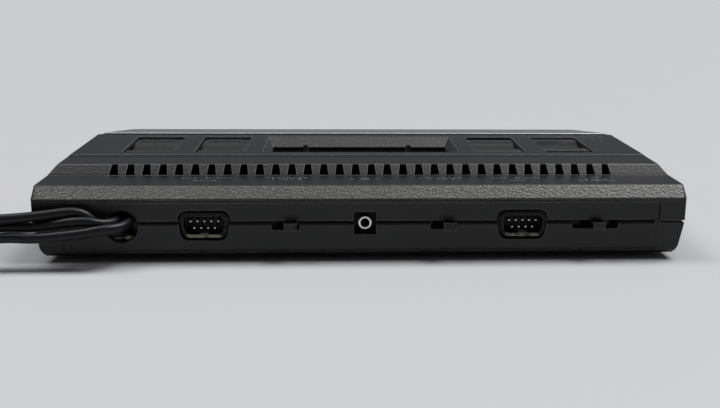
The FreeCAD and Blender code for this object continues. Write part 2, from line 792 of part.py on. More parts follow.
def make_jack():
    """Miniature power jack: plastic body, nickel bushing and its tip contact."""
    half = 5.2
    body = block(-half, half, jack_face_u, jack_face_u + jack_depth, board_top_h, jack_h + 4.6)
    boss = rod(0, jack_h, jack_face_u - 1.2, jack_face_u + 0.1, jack_boss_r)
    bore = rod(0, jack_h, jack_ring_u - 1, jack_face_u + jack_depth - 1.2, jack_bore_r)
    seat = rod(0, jack_h, jack_ring_u, jack_face_u + 3.0, jack_ring_r + 0.05)
    slot = block(-0.6, 0.6, jack_face_u + 5, jack_face_u + 9, jack_h - 0.5, jack_h + 5)
    keep("power_jack_body", body.fuse(boss).cut([bore, seat, slot]).removeSplitter())
    ring = rod(0, jack_h, jack_ring_u, jack_face_u + 3.0, jack_ring_r).cut(bore)
    lip = [e for e in ring.Edges if e.BoundBox.YMin > yb(jack_ring_u) - 0.01]
    keep("power_jack_bushing", ring.makeFillet(0.35, lip))
    keep("power_jack_contact", block(-0.5, 0.5, jack_face_u + 5.1, jack_face_u + 8.9,
                                     jack_h + jack_bore_r + 0.15, jack_h + 4.9))


def bent_wire(start, bend, end, radius):
    """Round wire from start to end with one rounded bend."""
    back, on = (start - bend).normalize(), (end - bend).normalize()
    reach = 1.8 * radius
    a, b = bend + back * reach, bend + on * reach
    middle = bend + (back + on) * (reach * (1 - math.sqrt(0.5)))
    path = Part.Wire([Part.LineSegment(start, a).toShape(), Part.Arc(a, middle, b).toShape(),
                      Part.LineSegment(b, end).toShape()])
    profile = Part.Wire(Part.makeCircle(radius, start, back))
    return path.makePipeShell([profile], True, False)


def chip(x, u, legs_a_side):
    """Dual in-line chip with its two rows of legs, standing on the board."""
    length, width = legs_a_side * chip_pitch + 1.0, chip_width
    low, high = board_top_h + 0.7, board_top_h + 4.3
    body = block(x - length / 2, x + length / 2, u - width / 2, u + width / 2, low, high)
    notch = cylinder(x - length / 2, u, high - 0.5, high + 1, 1.4)
    body = body.cut(notch)
    legs = []
    for i in range(legs_a_side):
        leg_x = x + (i - (legs_a_side - 1) / 2) * chip_pitch
        for s in (1, -1):
            edge = u + s * (width / 2 + 0.75)
            legs.append(block(leg_x - 0.25, leg_x + 0.25, u + s * width / 2 - s * 0.3, edge, low + 1.2, low + 1.6))
            legs.append(block(leg_x - 0.25, leg_x + 0.25, edge - s * 0.35, edge, board_top_h, low + 1.6))
    return body.fuse(legs).removeSplitter()


def make_board():
    low = board_top_h - board_thickness
    board = block(-board_half_width, board_half_width, board_rear_u, board_front_u, low, board_top_h)
    corners = [e for e in board.Edges if e.BoundBox.ZLength > board_thickness - 0.01]
    board = board.makeFillet(board_corner, corners)
    holes = [cylinder(x, u, 0, 20, 1.6) for x, u in board_screw_places()]
    keep("main_board", board.cut(holes))
    screws = []
    for x, u in board_screw_places():
        head_top = board_top_h + 1.8
        head = cylinder(x, u, board_top_h, head_top, board_screw_head_r)
        shank = cylinder(x, u, wall + 0.2, board_top_h, board_screw_r)
        screws.append(head.fuse(shank).cut(cross_cuts(x, u, head_top - 0.9, head_top, screw_drive)))
    keep("board_screws", group(screws))
    keep("video_chip", chip(-28, 36, 20))
    keep("memory_chip", chip(-30, 112, 20))
    keep("processor_chip", chip(36, 112, 14))


def make_board_parts():
    can = block(58, 98, 32, 50, board_top_h, board_top_h + 14)
    inside = block(58.5, 97.5, 32.5, 49.5, board_top_h - 1, board_top_h + 13.5)
    slots = [block(62 + i * 6, 65 + i * 6, 36, 46, board_top_h + 12, board_top_h + 15) for i in range(6)]
    keep("shield_can", can.cut([inside] + slots))
    crystal = block(64, 75, 100, 104.6, board_top_h + 0.6, board_top_h + 13)
    ends = [e for e in crystal.Edges if e.BoundBox.ZLength > 10]
    crystal = crystal.makeFillet(2.2, ends)
    legs = [cylinder(x, 102.3, board_top_h, board_top_h + 0.7, 0.3) for x in (67.0, 72.0)]
    keep("clock_crystal", crystal.fuse(legs).removeSplitter())
    tab = block(-92, -82, 30.0, 31.3, board_top_h + 3, board_top_h + 18)
    case = block(-92, -82, 31.3, 34.5, board_top_h + 3, board_top_h + 12)
    legs = [block(x - 0.4, x + 0.4, 32.5, 33.1, board_top_h, board_top_h + 3.1) for x in (-89.5, -87, -84.5)]
    keep("voltage_regulator", tab.fuse([case] + legs).removeSplitter())
    web = block(-98, -76, 28.4, 30.0, board_top_h, board_top_h + 19)
    fins = [block(x, x + 1.6, 22.0, 28.5, board_top_h, board_top_h + 19) for x in (-98.0, -87.8, -77.6)]
    keep("regulator_heat_sink", web.fuse(fins).removeSplitter())
    cans = [(20, 30, 5, 13), (33, 30, 4, 11), (45, 30, 4, 11), (-66, 30, 4, 11), (20, 44, 3, 9), (-60, 100, 4, 11)]
    keep("electrolytic_capacitors", group([capacitor(*c) for c in cans]))
    keep("small_components", group([resistor(x, u) for x, u in resistor_places()]))
    body = block(82, 91, 104, 113, board_top_h, board_top_h + 4)
    socket = cylinder(86.5, 108.5, board_top_h + 1.4, board_top_h + 5, 3.3)
    keep("colour_trimmer_body", body.cut(socket))
    rotor = cylinder(86.5, 108.5, board_top_h + 1.6, board_top_h + 5.2, 3.22)
    slot = block(84.5, 88.5, 108.1, 108.9, board_top_h + 4.2, board_top_h + 6)
    keep("colour_trimmer_rotor", rotor.cut(slot))


def capacitor(x, u, radius, height):
    can = cylinder(x, u, board_top_h, board_top_h + height, radius)
    rim = [e for e in can.Edges if e.BoundBox.ZMin > zb(board_top_h + height) - 0.01]
    return can.makeFillet(0.6, rim)


def resistor_places():
    places = [(x, u) for x in (12, 22, 32, 42) for u in (54, 60)]
    return places + [(x, 103.0) for x in (-100, -90, -80)] + [(x, 117.0) for x in (66, 76)]


def resistor(x, u):
    """Small axial resistor lying on the board, on its two bent legs."""
    middle = zb(board_top_h + 1.4)
    body = Part.makeCylinder(1.15, 6.2, V(x - 3.1, yb(u), middle), V(1, 0, 0))
    legs = []
    for s in (1, -1):
        bend = V(x + s * 4.1, yb(u), middle)
        legs.append(bent_wire(V(x + s * 3.0, yb(u), middle), bend, V(x + s * 4.1, yb(u), zb(board_top_h)), 0.3))
    return body.fuse(legs)


def make_cartridge_parts():
    """Edge connector, its contacts and the guide frame with two prongs."""
    middle = slot_front_u - funnel_front_run - well_length / 2
    low, high = board_top_h, board_top_h + socket_height
    body = block(-23, 23, middle - 4.6, middle + 4.6, low, high)
    flange = block(-29, 29, middle - 3.2, middle + 3.2, low, low + 3)
    mouth = block(-17.0, 17.0, middle - 1.0, middle + 1.0, low + 2.4, high + 1)
    contact_cells, contacts = [], []
    for i in range(contacts_a_row):
        x = (i - (contacts_a_row - 1) / 2) * contact_pitch
        for s in (1, -1):
            a, b = middle + s * 0.9, middle + s * 2.4
            contact_cells.append(block(x - 0.75, x + 0.75, a, b, low + 2.4, high - 0.8))
            stem = block(x - 0.5, x + 0.5, middle + s * 1.9, middle + s * 2.3, low + 2.4, high - 1.2)
            bump = block(x - 0.5, x + 0.5, middle + s * 1.1, middle + s * 2.0, high - 3.4, high - 2.4)
            tail = block(x - 0.3, x + 0.3, middle + s * 1.95, middle + s * 2.25, low, low + 2.5)
            contacts.append(stem.fuse([bump, tail]).removeSplitter())
            contact_cells.append(block(x - 0.35, x + 0.35, middle + s * 1.9, middle + s * 2.3, low - 1, low + 2.5))
    keep("cartridge_socket", body.fuse(flange).cut([mouth] + contact_cells).removeSplitter())
    keep("cartridge_contacts", group(contacts))
    frame = block(-40, 40, middle - 9.5, middle + 9.5, low, low + 2.0)
    window = block(-29.3, 29.3, middle - 5.0, middle + 5.0, low - 1, low + 3)
    posts = [block(x - 1.1, x + 1.1, middle + 5.6, middle + 9.4, low, top_h - 2.6)
             for x in (prong_centre_x + prong_spread / 2, prong_centre_x - prong_spread / 2)]
    keep("cartridge_guide", frame.cut(window).fuse(posts).removeSplitter())


def lead_routes():
    """The three leads' points from the block inside, through the outlet, to each coil.

    They are measured from the middle of the outlet in the rear face, and from the table.
    Each ends level with its own coil.
    """
    lead_a = [
        (-3.15, -9.50, 16.60), (-3.15, -3.00, 16.60), (-2.50, 3.85, 16.90), (1.30, 8.95, 16.20),
        (8.30, 10.45, 14.60), (17.40, 9.95, 13.00), (28.90, 9.35, 12.05), (42.90, 9.65, 11.70),
        (57.90, 9.35, 9.30), (72.90, 9.65, 5.30),
    ]
    lead_b = [
        (1.10, -9.50, 16.60), (1.10, -3.20, 16.60), (3.80, 4.15, 16.90), (9.10, 7.35, 17.80),
        (19.90, 8.35, 17.50), (31.90, 8.70, 16.50), (45.90, 9.35, 15.80), (60.90, 9.25, 14.90),
        (74.90, 9.60, 13.40),
    ]
    lead_c = [
        (-0.90, -9.50, 11.30), (-0.90, -4.80, 11.30), (5.50, 1.50, 13.40), (10.10, 2.00, 17.10),
        (15.50, 4.45, 21.10), (23.70, 7.05, 21.90), (34.90, 8.35, 21.10), (47.90, 8.95, 20.30),
        (62.90, 9.65, 20.30), (75.90, 9.35, 21.60),
    ]
    routes = []
    for index, points in enumerate((lead_a, lead_b, lead_c)):
        x, y, z = coil_from_outlet - coil_entry_run, coil_outer_r - coil_u, coil_base(index)
        points += [(x - coil_approach, y, z), (x, y, z)]
        routes.append([(outlet_x + x, rear_y + y, z) for x, y, z in points])
    return routes


def tail_routes():
    """Each lead's points from the top of its coil down to its plug, which lies on the table.

    They are measured from where the lead leaves its coil, and from the table.
    """
    rest = plug_r + plug_lift
    tail_a = [(0.0, -16.0, 7.95), (1.2, -32.35, 6.4), (0.2, -46.55, rest), (0.2, -58.55, rest)]
    tail_b = [(-0.1, -16.0, 17.15), (-2.7, -32.55, 11.6), (-10.8, -46.55, 6.4),
              (-14.2, -58.55, rest), (-14.2, -68.55, rest)]
    tail_c = [(-0.2, -16.0, 26.75), (-4.7, -32.35, 19.7), (-15.2, -46.35, 11.4),
              (-24.6, -56.95, 6.4), (-28.6, -65.95, rest), (-28.6, -74.55, rest)]
    exit_x, exit_y = coil_centre[0] + coil_outer_r, coil_centre[1]
    return [[(exit_x + x, exit_y + y, z) for x, y, z in points] for points in (tail_a, tail_b, tail_c)]


def coil_base(index):
    """Height of the lower layer of one coil in the pile."""
    return coil_lift + lead_d / 2 + 2 * coil_pitch * index


def route_edges(points, name):
    """Straight runs joined by tangent arcs as large as their shorter run allows."""
    points = [V(*p) for p in points]
    edges, radii = [], []
    at = points[0]
    for before, here, after in zip(points, points[1:], points[2:]):
        arrive, leave = here - before, after - here
        run = min(arrive.Length, leave.Length)
        arrive.normalize()
        leave.normalize()
        turn = math.acos(max(-1.0, min(1.0, arrive.dot(leave))))
        reach = 0.45 * run
        radii.append(reach / math.tan(turn / 2))
        begin, end = here - arrive * reach, here + leave * reach
        toward = (leave - arrive).normalize()
        sagitta = radii[-1] * (1 / math.cos(turn / 2) - 1)
        edges.append(Part.LineSegment(at, begin).toShape())
        edges.append(Part.Arc(begin, here + toward * sagitta, end).toShape())
        at = end
    edges.append(Part.LineSegment(at, points[-1]).toShape())
    print(name, "radii", [round(r, 1) for r in radii])
    return edges


def biarc(p0, t0, p1, t1):
    """Two tangent arcs from one point and direction to the next."""
    chord, both = p1 - p0, t0 + t1
    lean = 2 * (1 - t0.dot(t1))
    half = chord.dot(both)
    if lean < 1e-9:
        reach = chord.dot(chord) / (2 * half)
    else:
        reach = (-half + math.sqrt(half * half + lean * chord.dot(chord))) / lean
    middle = (p0 + t0 * reach + p1 - t1 * reach) * 0.5
    return [arc_from(p0, t0, middle), arc_from(p1, t1 * -1, middle, True)]


def arc_from(start, direction, end, backwards=False):
    """Arc that leaves start along a direction and ends at end, or its reverse."""
    chord = end - start
    unit = V(chord).normalize()
    across = direction - unit * direction.dot(unit)
    angle = math.atan2(across.Length, direction.dot(unit))
    if across.Length < 1e-7:
        return Part.LineSegment(end, start).toShape() if backwards else Part.LineSegment(start, end).toShape()
    across.normalize()
    top = start + chord * 0.5 + across * (chord.Length / 2 * math.tan(angle / 2))
    if backwards:
        return Part.Arc(end, top, start).toShape()
    return Part.Arc(start, top, end).toShape()


def coil_point(angle, base):
    """Point of a coil: in on the lower layer, up a layer as it turns back, out on the upper."""
    total = 2 * math.pi * coil_turns
    from_middle = angle - total / 2
    blend = math.pi / 2
    away = abs(from_middle)
    if away < blend:
        away = (away * away + blend * blend) / (2 * blend)
    inner = coil_outer_r - coil_pitch * coil_turns / 2
    radius = inner + coil_pitch * away / (2 * math.pi)
    share = max(0.0, min(1.0, (from_middle + blend) / (2 * blend)))
    height = base + coil_pitch * share * share * (3 - 2 * share)
    around = math.pi / 2 - angle
    return V(coil_centre[0] + radius * math.cos(around), coil_centre[1] + radius * math.sin(around), height)


def coil_edges(base, leaving):
    """The coil's turns as biarcs of a quarter turn, shorter where it climbs."""
    total = 2 * math.pi * coil_turns
    quarter = math.pi / 2
    count = int(round(total / quarter))
    stations = [i * total / count for i in range(count + 1)]
    climb = [s for s in stations if abs(s - total / 2) < quarter * 1.3]
    extra = [(a + b) / 2 for a, b in zip(climb, climb[1:])]
    stations = sorted(stations + extra)
    edges = []
    step = 1e-4
    frames = []
    for s in stations:
        ahead = coil_point(min(s + step, total), base) - coil_point(max(s - step, 0), base)
        frames.append((coil_point(s, base), ahead.normalize()))
    frames[0] = (frames[0][0], V(1, 0, 0))
    frames[-1] = (frames[-1][0], leaving)
    for (p0, t0), (p1, t1) in zip(frames, frames[1:]):
        edges += biarc(p0, t0, p1, t1)
    return edges


def least_coil_gap(base):
    """Least gap between one coil's turns, measured on points along its middle line."""
    total = 2 * math.pi * coil_turns
    count = 700
    points = [coil_point(i * total / count, base) for i in range(count + 1)]
    skip = int(count / coil_turns / 2.5)
    least = 1e9
    for i in range(0, count + 1, 2):
        for j in range(i + skip, count + 1, 2):
            least = min(least, (points[i] - points[j]).Length)
    return least - lead_d


def tube(edges, name):
    """Round tube along tangent edges, with its volume against section times length."""
    path = Part.Wire(edges)
    first = edges[0]
    start = first.valueAt(first.FirstParameter)
    direction = first.tangentAt(first.FirstParameter)
    profile = Part.Wire(Part.makeCircle(lead_d / 2, start, direction))
    solid = path.makePipeShell([profile], True, False)
    length = sum(e.Length for e in edges)
    share = solid.Volume / (math.pi * lead_d ** 2 / 4 * length)
    print(name, "length", round(length, 1), "volume share", round(share, 4), "valid", solid.isValid())
    return solid


def make_leads():
    """Three leads, their coils, ties and plugs."""
    contacts = []
    for index, (name, route, tail) in enumerate(zip(lead_names, lead_routes(), tail_routes())):
        keep(name + "_lead", tube(route_edges(route, name + "_lead"), name + "_lead"))
        base = coil_base(index)
        entry = V(coil_centre[0], coil_centre[1] + coil_outer_r, base)
        exit_point = V(coil_centre[0] + coil_outer_r, coil_centre[1], base + coil_pitch)
        start = Part.LineSegment(entry - V(coil_entry_run, 0, 0), entry).toShape()
        leaving = (V(*tail[0]) - exit_point).normalize()
        tail_points = [tuple(exit_point)] + tail
        edges = [start] + coil_edges(base, leaving) + route_edges(tail_points, name + "_tail")
        keep(name + "_coil", tube(edges, name + "_coil"))
        plug, contact = phono_plug(tail[-1])
        keep(name + "_plug", plug)
        contacts.append(contact)
        print(name, "least gap in coil", round(least_coil_gap(base), 3))
    keep("plug_contacts", group(contacts))
    keep("coil_ties", group([coil_tie(a) for a in tie_angles]))


def make_lead_block():
    """Block that the leads are soldered to, and the small board behind it."""
    x, rear = outlet_x - 1.1, block_u + block_depth
    keep("lead_block", slot_block(x, block_u, rear, board_top_h, 17.5, 11))
    low, high = board_top_h + 0.5, board_top_h + 1.7
    board = slot_block(x + 1, rear + 0.6, rear + 12, low, high, 22)
    feet = [cylinder(x + 1 + side * 9, u, board_top_h, low, 1)
            for side in (1, -1) for u in (rear + 2.5, rear + 10)]
    bridges = [slot_block(x + dx, rear, rear + 3, high, high + 1, 1.2) for dx in (-3, 0, 3)]
    keep("sound_video_board", board.fuse(feet + bridges).removeSplitter())


def along_plug(end, start, length, radius, second=None):
    """Cylinder or cone on a plug's axis, from a distance behind its lead's end."""
    x, y, z = end
    place, direction = V(x, y - start, z), V(0, -1, 0)
    if second is None:
        return Part.makeCylinder(radius, length, place, direction)
    return Part.makeCone(radius, second, length, place, direction)


def phono_plug(end):
    """Moulded phono plug lying on the table, with its collar and centre pin."""
    start = 0.02
    front = start + plug_relief_length
    mouth = front + plug_body_length
    relief = along_plug(end, start, plug_relief_length, lead_d / 2 + 0.7, 3.4)
    grip = along_plug(end, front, plug_body_length, plug_r)
    rims = [e for e in grip.Edges if isinstance(e.Curve, Part.Circle)]
    grip = grip.makeFillet(plug_round, rims)
    grooves = []
    for i in range(plug_grooves):
        place = front + 5 + i * plug_groove_pitch
        ring = along_plug(end, place, 1.0, plug_r + 1)
        grooves.append(ring.cut(along_plug(end, place, 1.0, plug_r - plug_groove_depth)))
    bore = along_plug(end, mouth - 5, 5, plug_pin_r + 0.05)
    seat = along_plug(end, mouth - 2, 2, plug_collar_r + 0.05)
    body = relief.fuse(grip).cut(grooves + [bore, seat])

    x, y, z = end
    collar = along_plug(end, mouth - 1.9, 8.5, plug_collar_r)
    inside = along_plug(end, mouth - 1.1, 8.0, plug_collar_r - 0.35)
    slots = [Part.makeBox(0.7, 6, 12, V(x - 0.35, y - mouth - 6.7, z - 6)),
             Part.makeBox(12, 6, 0.7, V(x - 6, y - mouth - 6.7, z - 0.35))]
    pin = along_plug(end, mouth - 4, 4 + plug_pin_length, plug_pin_r)
    nose = [e for e in pin.Edges if e.BoundBox.YMax < y - mouth - plug_pin_length + 0.1]
    pin = pin.makeFillet(1.2, nose)
    return body.removeSplitter(), collar.cut([inside] + slots).fuse(pin).removeSplitter()


def coil_tie(angle):
    """Flat strap closed round the whole pile of coils, at one side."""
    inner = coil_outer_r - coil_pitch * coil_turns / 2 - lead_d / 2 - 0.1
    outer = coil_outer_r + lead_d / 2 + 0.5
    high = coil_base(2) + coil_pitch + lead_d / 2 + 0.5
    t = tie_thickness
    loop = Part.makeBox(outer - inner + 2 * t, tie_width, high + t, V(inner - t, -tie_width / 2, 0))
    corners = [e for e in loop.Edges if e.BoundBox.YLength > tie_width - 0.01]
    loop = loop.makeFillet(2.0, corners)
    room = Part.makeBox(outer - inner, tie_width + 2, high - t, V(inner, -tie_width / 2 - 1, t))
    ends = [e for e in room.Edges if e.BoundBox.YLength > tie_width]
    room = room.makeFillet(1.2, ends)
    loop = loop.cut(room)
    loop.rotate(V(0, 0, 0), V(0, 0, 1), angle)
    loop.translate(V(coil_centre[0], coil_centre[1], 0))
    return loop


make_upper_case()
make_lower_case()
make_front_plate()
make_feet_and_screws()
make_push_switch("reset", outer_window_x)
make_push_switch("select", inner_window_x)
make_slide_switch("colour", -inner_window_x, False)
make_slide_switch("power", -outer_window_x, True)
make_rear_switch("left_difficulty", difficulty_x - lever_travel / 2, lever_travel)
make_rear_switch("right_difficulty", -difficulty_x - lever_travel / 2, lever_travel)
make_rear_switch("channel", channel_lever_x, channel_travel)
make_port("left", port_x)
make_port("right", -port_x)
make_jack()
make_board()
make_board_parts()
make_cartridge_parts()
make_lead_block()
make_leads()

for name, shape in nodes.items():
    if not shape.isValid():
        print("not valid:", name)
    shape.exportStep("parts/" + name + ".step")
print(len(nodes), "nodes")
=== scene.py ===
import json
import math

import bpy
import numpy as np
from mathutils import Matrix, Vector


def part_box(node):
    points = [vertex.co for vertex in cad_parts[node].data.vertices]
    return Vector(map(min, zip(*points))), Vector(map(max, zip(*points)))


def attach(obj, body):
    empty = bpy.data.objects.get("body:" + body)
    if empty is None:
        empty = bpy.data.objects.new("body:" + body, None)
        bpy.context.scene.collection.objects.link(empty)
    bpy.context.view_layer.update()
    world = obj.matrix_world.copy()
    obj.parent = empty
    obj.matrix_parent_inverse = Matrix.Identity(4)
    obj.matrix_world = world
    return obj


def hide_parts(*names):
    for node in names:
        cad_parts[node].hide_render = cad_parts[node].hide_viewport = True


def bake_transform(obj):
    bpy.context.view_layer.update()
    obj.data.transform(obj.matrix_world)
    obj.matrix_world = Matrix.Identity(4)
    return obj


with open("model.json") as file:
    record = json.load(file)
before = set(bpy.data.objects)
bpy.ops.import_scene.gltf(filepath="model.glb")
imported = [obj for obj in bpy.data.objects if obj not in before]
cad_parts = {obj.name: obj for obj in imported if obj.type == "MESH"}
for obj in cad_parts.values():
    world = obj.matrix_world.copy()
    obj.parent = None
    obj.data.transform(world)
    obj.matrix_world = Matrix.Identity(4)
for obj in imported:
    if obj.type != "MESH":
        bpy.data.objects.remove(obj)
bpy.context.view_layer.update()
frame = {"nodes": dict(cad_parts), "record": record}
print("frame loaded:", len(frame["nodes"]), "nodes")

mm = 0.001
rearY = 90.25       # the rear face; depths u are measured forwards from it
underZ = 2.5        # the shell's underside; heights h are measured up from it

# the camera, fitted to the two ports and the case's edges in the photograph
camera = {
    "place": (0.01323, 0.48310, 0.11603),
    "turn": -3.68,              # degrees off the rear face's own direction
    "dip": 13.21,               # degrees below level
    "lean": 0.66,               # degrees of roll
    "focal": 1007 / 720,        # as a share of the picture's width
    "sensor": 36,
    "shift": -0.049,
    "clip": (0.01, 60),
}


def setCamera(view):
    # the way ahead from turn and dip, and the picture's own two directions square to it, rolled by the lean
    turn, dip, lean = (math.radians(view[k]) for k in ("turn", "dip", "lean"))
    ahead = Vector((math.sin(turn) * math.cos(dip), -math.cos(turn) * math.cos(dip), -math.sin(dip)))
    right = Vector((-math.cos(turn), -math.sin(turn), 0))
    up = right.cross(ahead)
    across = right * math.cos(lean) + up * math.sin(lean)
    above = up * math.cos(lean) - right * math.sin(lean)
    lens = bpy.data.cameras.new("camera")
    lens.lens, lens.sensor_width = view["focal"] * view["sensor"], view["sensor"]
    lens.shift_x = view["shift"]
    lens.clip_start, lens.clip_end = view["clip"]
    holder = bpy.data.objects.new("camera", lens)
    turned = Matrix((across, above, -ahead)).transposed().to_4x4()
    holder.matrix_world = Matrix.Translation(view["place"]) @ turned
    bpy.context.scene.collection.objects.link(holder)
    bpy.context.scene.camera = holder


setCamera(camera)
print("camera set")


class Signal:
    # one socket of a node tree; arithmetic on it adds Math nodes
    def __init__(self, tree, socket):
        self.tree, self.socket = tree, socket

    def node(self, kind, settings=None, values=None, output=0):
        # any node: its settings come first, then the values or links of its sockets
        made = self.tree.nodes.new(kind)
        for key, value in (settings or {}).items():
            setattr(made, key, value)
        for key, value in (values or {}).items():
            if isinstance(value, Signal):
                self.tree.links.new(value.socket, made.inputs[key])
            else:
                made.inputs[key].default_value = value
        return Signal(self.tree, made.outputs[output])

    def maths(self, operation, a, b):
        return self.node("ShaderNodeMath", {"operation": operation}, {0: a, 1: b})

    def __add__(self, other):
        return self.maths("ADD", self, other)

    __radd__ = __add__

    def __mul__(self, other):
        return self.maths("MULTIPLY", self, other)

    __rmul__ = __mul__

    def __sub__(self, other):
        return self.maths("SUBTRACT", self, other)

    def __rsub__(self, other):
        return self.maths("SUBTRACT", other, self)

    def most(self, other):
        return self.maths("MAXIMUM", self, other)

    def parts(self):
        # the three numbers of a vector
        split = self.node("ShaderNodeSeparateXYZ", None, {0: self}).socket.node
        return [Signal(self.tree, output) for output in split.outputs]

    def into(self, socket):
        self.tree.links.new(self.socket, socket)


def newFinish(name):
    # a new material, its shader, and the Object coordinates that its patterns read
    material = bpy.data.materials.new(name)
    material.use_nodes = True
    tree = material.node_tree
    shader = tree.nodes["Principled BSDF"]
    coordinates = tree.nodes.new("ShaderNodeTexCoord")
    return material, shader, Signal(tree, coordinates.outputs["Object"])


def noise(place, size, detail=2, roughness=0.6, stretch=(1, 1, 1)):
    # noise whose blobs are about `size` metres across, longer where stretch is above 1
    scale = tuple(1 / (size * s) for s in stretch)
    spread = place.node("ShaderNodeMapping", None, {"Vector": place, "Scale": scale})
    return spread.node("ShaderNodeTexNoise", {"noise_dimensions": "3D"},
                       {"Vector": spread, "Scale": 1.0, "Detail": detail, "Roughness": roughness})


def between(signal, low, high, first, last):
    # signal from low..high carried to first..last, held at both ends
    return signal.node("ShaderNodeMapRange", {"clamp": True},
                       {"Value": signal, "From Min": low, "From Max": high, "To Min": first, "To Max": last})


def blendColours(share, first, second):
    # first where share is 0, second where it is 1
    return share.node("ShaderNodeMix", {"data_type": "RGBA"}, {0: share, 6: first, 7: second}, output=2)


def bump(height, distance, under=None):
    # a relief `distance` metres deep, on top of the normals `under` it
    values = {"Height": height, "Distance": distance}
    if under is not None:
        values["Normal"] = under
    return height.node("ShaderNodeBump", None, values)


edgeLook = {
    "samples": 6,
    "turned": (0.004, 0.08),    # how far a normal has turned where the painted highlight starts, and where it is full
    "patch": 0.004,             # size of the patches that break it up
    "thin": 0.45,               # what is left between them
}


def softEdges(place, radius):
    # normals rounded over every sharp edge, as a moulded edge is
    return place.node("ShaderNodeBevel", {"samples": edgeLook["samples"]}, {"Radius": radius})


def paintedEdgeHighlight(place, normal, amount):
    # painted highlight along edges: how far the rounded normals turn from the flat ones, 0 on faces,
    # towards `amount` along edges, broken up by noise into patches
    plain = place.node("ShaderNodeNewGeometry", output=3)
    along = normal.node("ShaderNodeVectorMath", {"operation": "DOT_PRODUCT"}, {0: normal, 1: plain}, output=1)
    patches = between(noise(place, edgeLook["patch"], 3, 0.65), 0.32, 0.62, edgeLook["thin"], 1)
    return between(1 - along, *edgeLook["turned"], 0, amount) * patches


def insideBox(place, low, high, fade=0.0003):
    # 1 inside a box whose corners are (x, u, h) in millimetres, fading out over a little way
    mask = None
    limits = [(low[0], high[0]), (rearY - high[1], rearY - low[1]), (low[2] + underZ, high[2] + underZ)]
    for along, (first, last) in zip(place.parts(), limits):
        for edge, sign in ((first, 1), (last, -1)):
            side = between(along * sign, sign * edge * mm - fade, sign * edge * mm + fade, 0, 1)
            mask = side if mask is None else mask * side
    return mask


def seenDirectly(tree):
    # 1 where the camera, a reflection or a clear piece looks at the surface, 0 for the light it throws
    path = tree.nodes.new("ShaderNodeLightPath")
    looks = [Signal(tree, path.outputs["Is %s Ray" % kind]) for kind in ("Camera", "Glossy", "Transmission")]
    return looks[0].most(looks[1]).most(looks[2])


def specks(place, size, width):
    # 1 on scattered dots about `width` metres across, one to a cell of `size`
    cells = place.node("ShaderNodeTexVoronoi", {"feature": "F1"}, {"Vector": place, "Scale": 1 / size})
    return between(cells, 0.35 * width / size, 0.5 * width / size, 1, 0)


# what a plastic or a metal has where its own look says nothing; sizes and depths in metres
plainPlastic = {
    "cloud": 0.02, "vary": 0.04, "grain": 0.0004, "grainRough": 0.08, "depth": 0.00002, "shine": 0.5,
    "coatRough": 0.15,
    "dustWidth": 0.00028, "dustShare": 0.5, "dustColour": (0.20, 0.20, 0.19, 1),
    # size and colour of the patches of painted glint
    "paintedGlintSize": 0.0024, "paintedGlintColour": (0.80, 0.78, 0.64, 1),
}
plainMetal = {
    "cloud": 0.006, "vary": 0.05, "brush": 0.0003, "stretch": (1, 1, 1), "depth": 0.000006,
    "lineRough": 0.12, "lineColour": (0.02, 0.02, 0.022, 1),
    # colour and roughness of the painted highlight along edges
    "paintedHighlightColour": (0.92, 0.91, 0.88, 1), "paintedHighlightRough": 0.22,
}


def moulded(name, look):
    # injection-moulded plastic: fine spark grain, faint flow clouds, soft edges, a little dust,
    # and coarser texture inside the look's "coarse" boxes
    look = {**plainPlastic, **look}
    material, shader, place = newFinish(name)
    clouds = noise(place, look["cloud"], 3, 0.55)
    colour = blendColours(between(clouds, 0.35, 0.65, 0, 1), look["dark"], look["light"])
    rough = between(clouds, 0.3, 0.7, look["rough"] - look["vary"], look["rough"] + look["vary"])
    fine = noise(place, look["grain"])
    rough = rough + (fine - 0.5) * look["grainRough"]
    edges = softEdges(place, look["edge"]) if "edge" in look else None
    normal = bump(fine, look["depth"], edges)
    if "coarse" in look:
        coarse = look["coarse"]
        zones = [insideBox(place, low, high) for low, high in coarse["boxes"]]
        zone = zones[0]
        for other in zones[1:]:
            zone = zone.most(other)
        pits = noise(place, coarse["grain"], roughness=0.7)
        tint = blendColours(between(pits, 0.35, 0.7, 0, 1), coarse["dark"], coarse["light"])
        colour = blendColours(zone, colour, tint)
        rough = rough + zone * (coarse["rough"] - look["rough"])
        normal = bump(pits * zone, coarse["depth"], normal)
    # painted highlight along edges, stronger inside the listed boxes
    if "paintedHighlight" in look:
        share = look["paintedHighlight"]
        for low, high, more in look.get("paintedHighlightMore", []):
            share = insideBox(place, low, high) * more + share
        colour = blendColours(paintedEdgeHighlight(place, edges, 1) * share, colour, look["paintedHighlightColour"])
    # painted glints: pale patches inside the given boxes
    for low, high in look.get("paintedGlintBoxes", []):
        patches = between(noise(place, look["paintedGlintSize"], 3), 0.40, 0.54, 0.20, 1)
        colour = blendColours(patches * insideBox(place, low, high), colour, look["paintedGlintColour"])
    if "dust" in look:
        dots = specks(place, look["dust"], look["dustWidth"]) * look["dustShare"]
        colour = blendColours(dots, colour, look["dustColour"])
    colour.into(shader.inputs["Base Color"])
    rough.into(shader.inputs["Roughness"])
    normal.into(shader.inputs["Normal"])
    shader.inputs["Specular IOR Level"].default_value = look["shine"]
    if "coat" in look:
        shader.inputs["Coat Weight"].default_value = look["coat"]
        shader.inputs["Coat Roughness"].default_value = look["coatRough"]
    return material


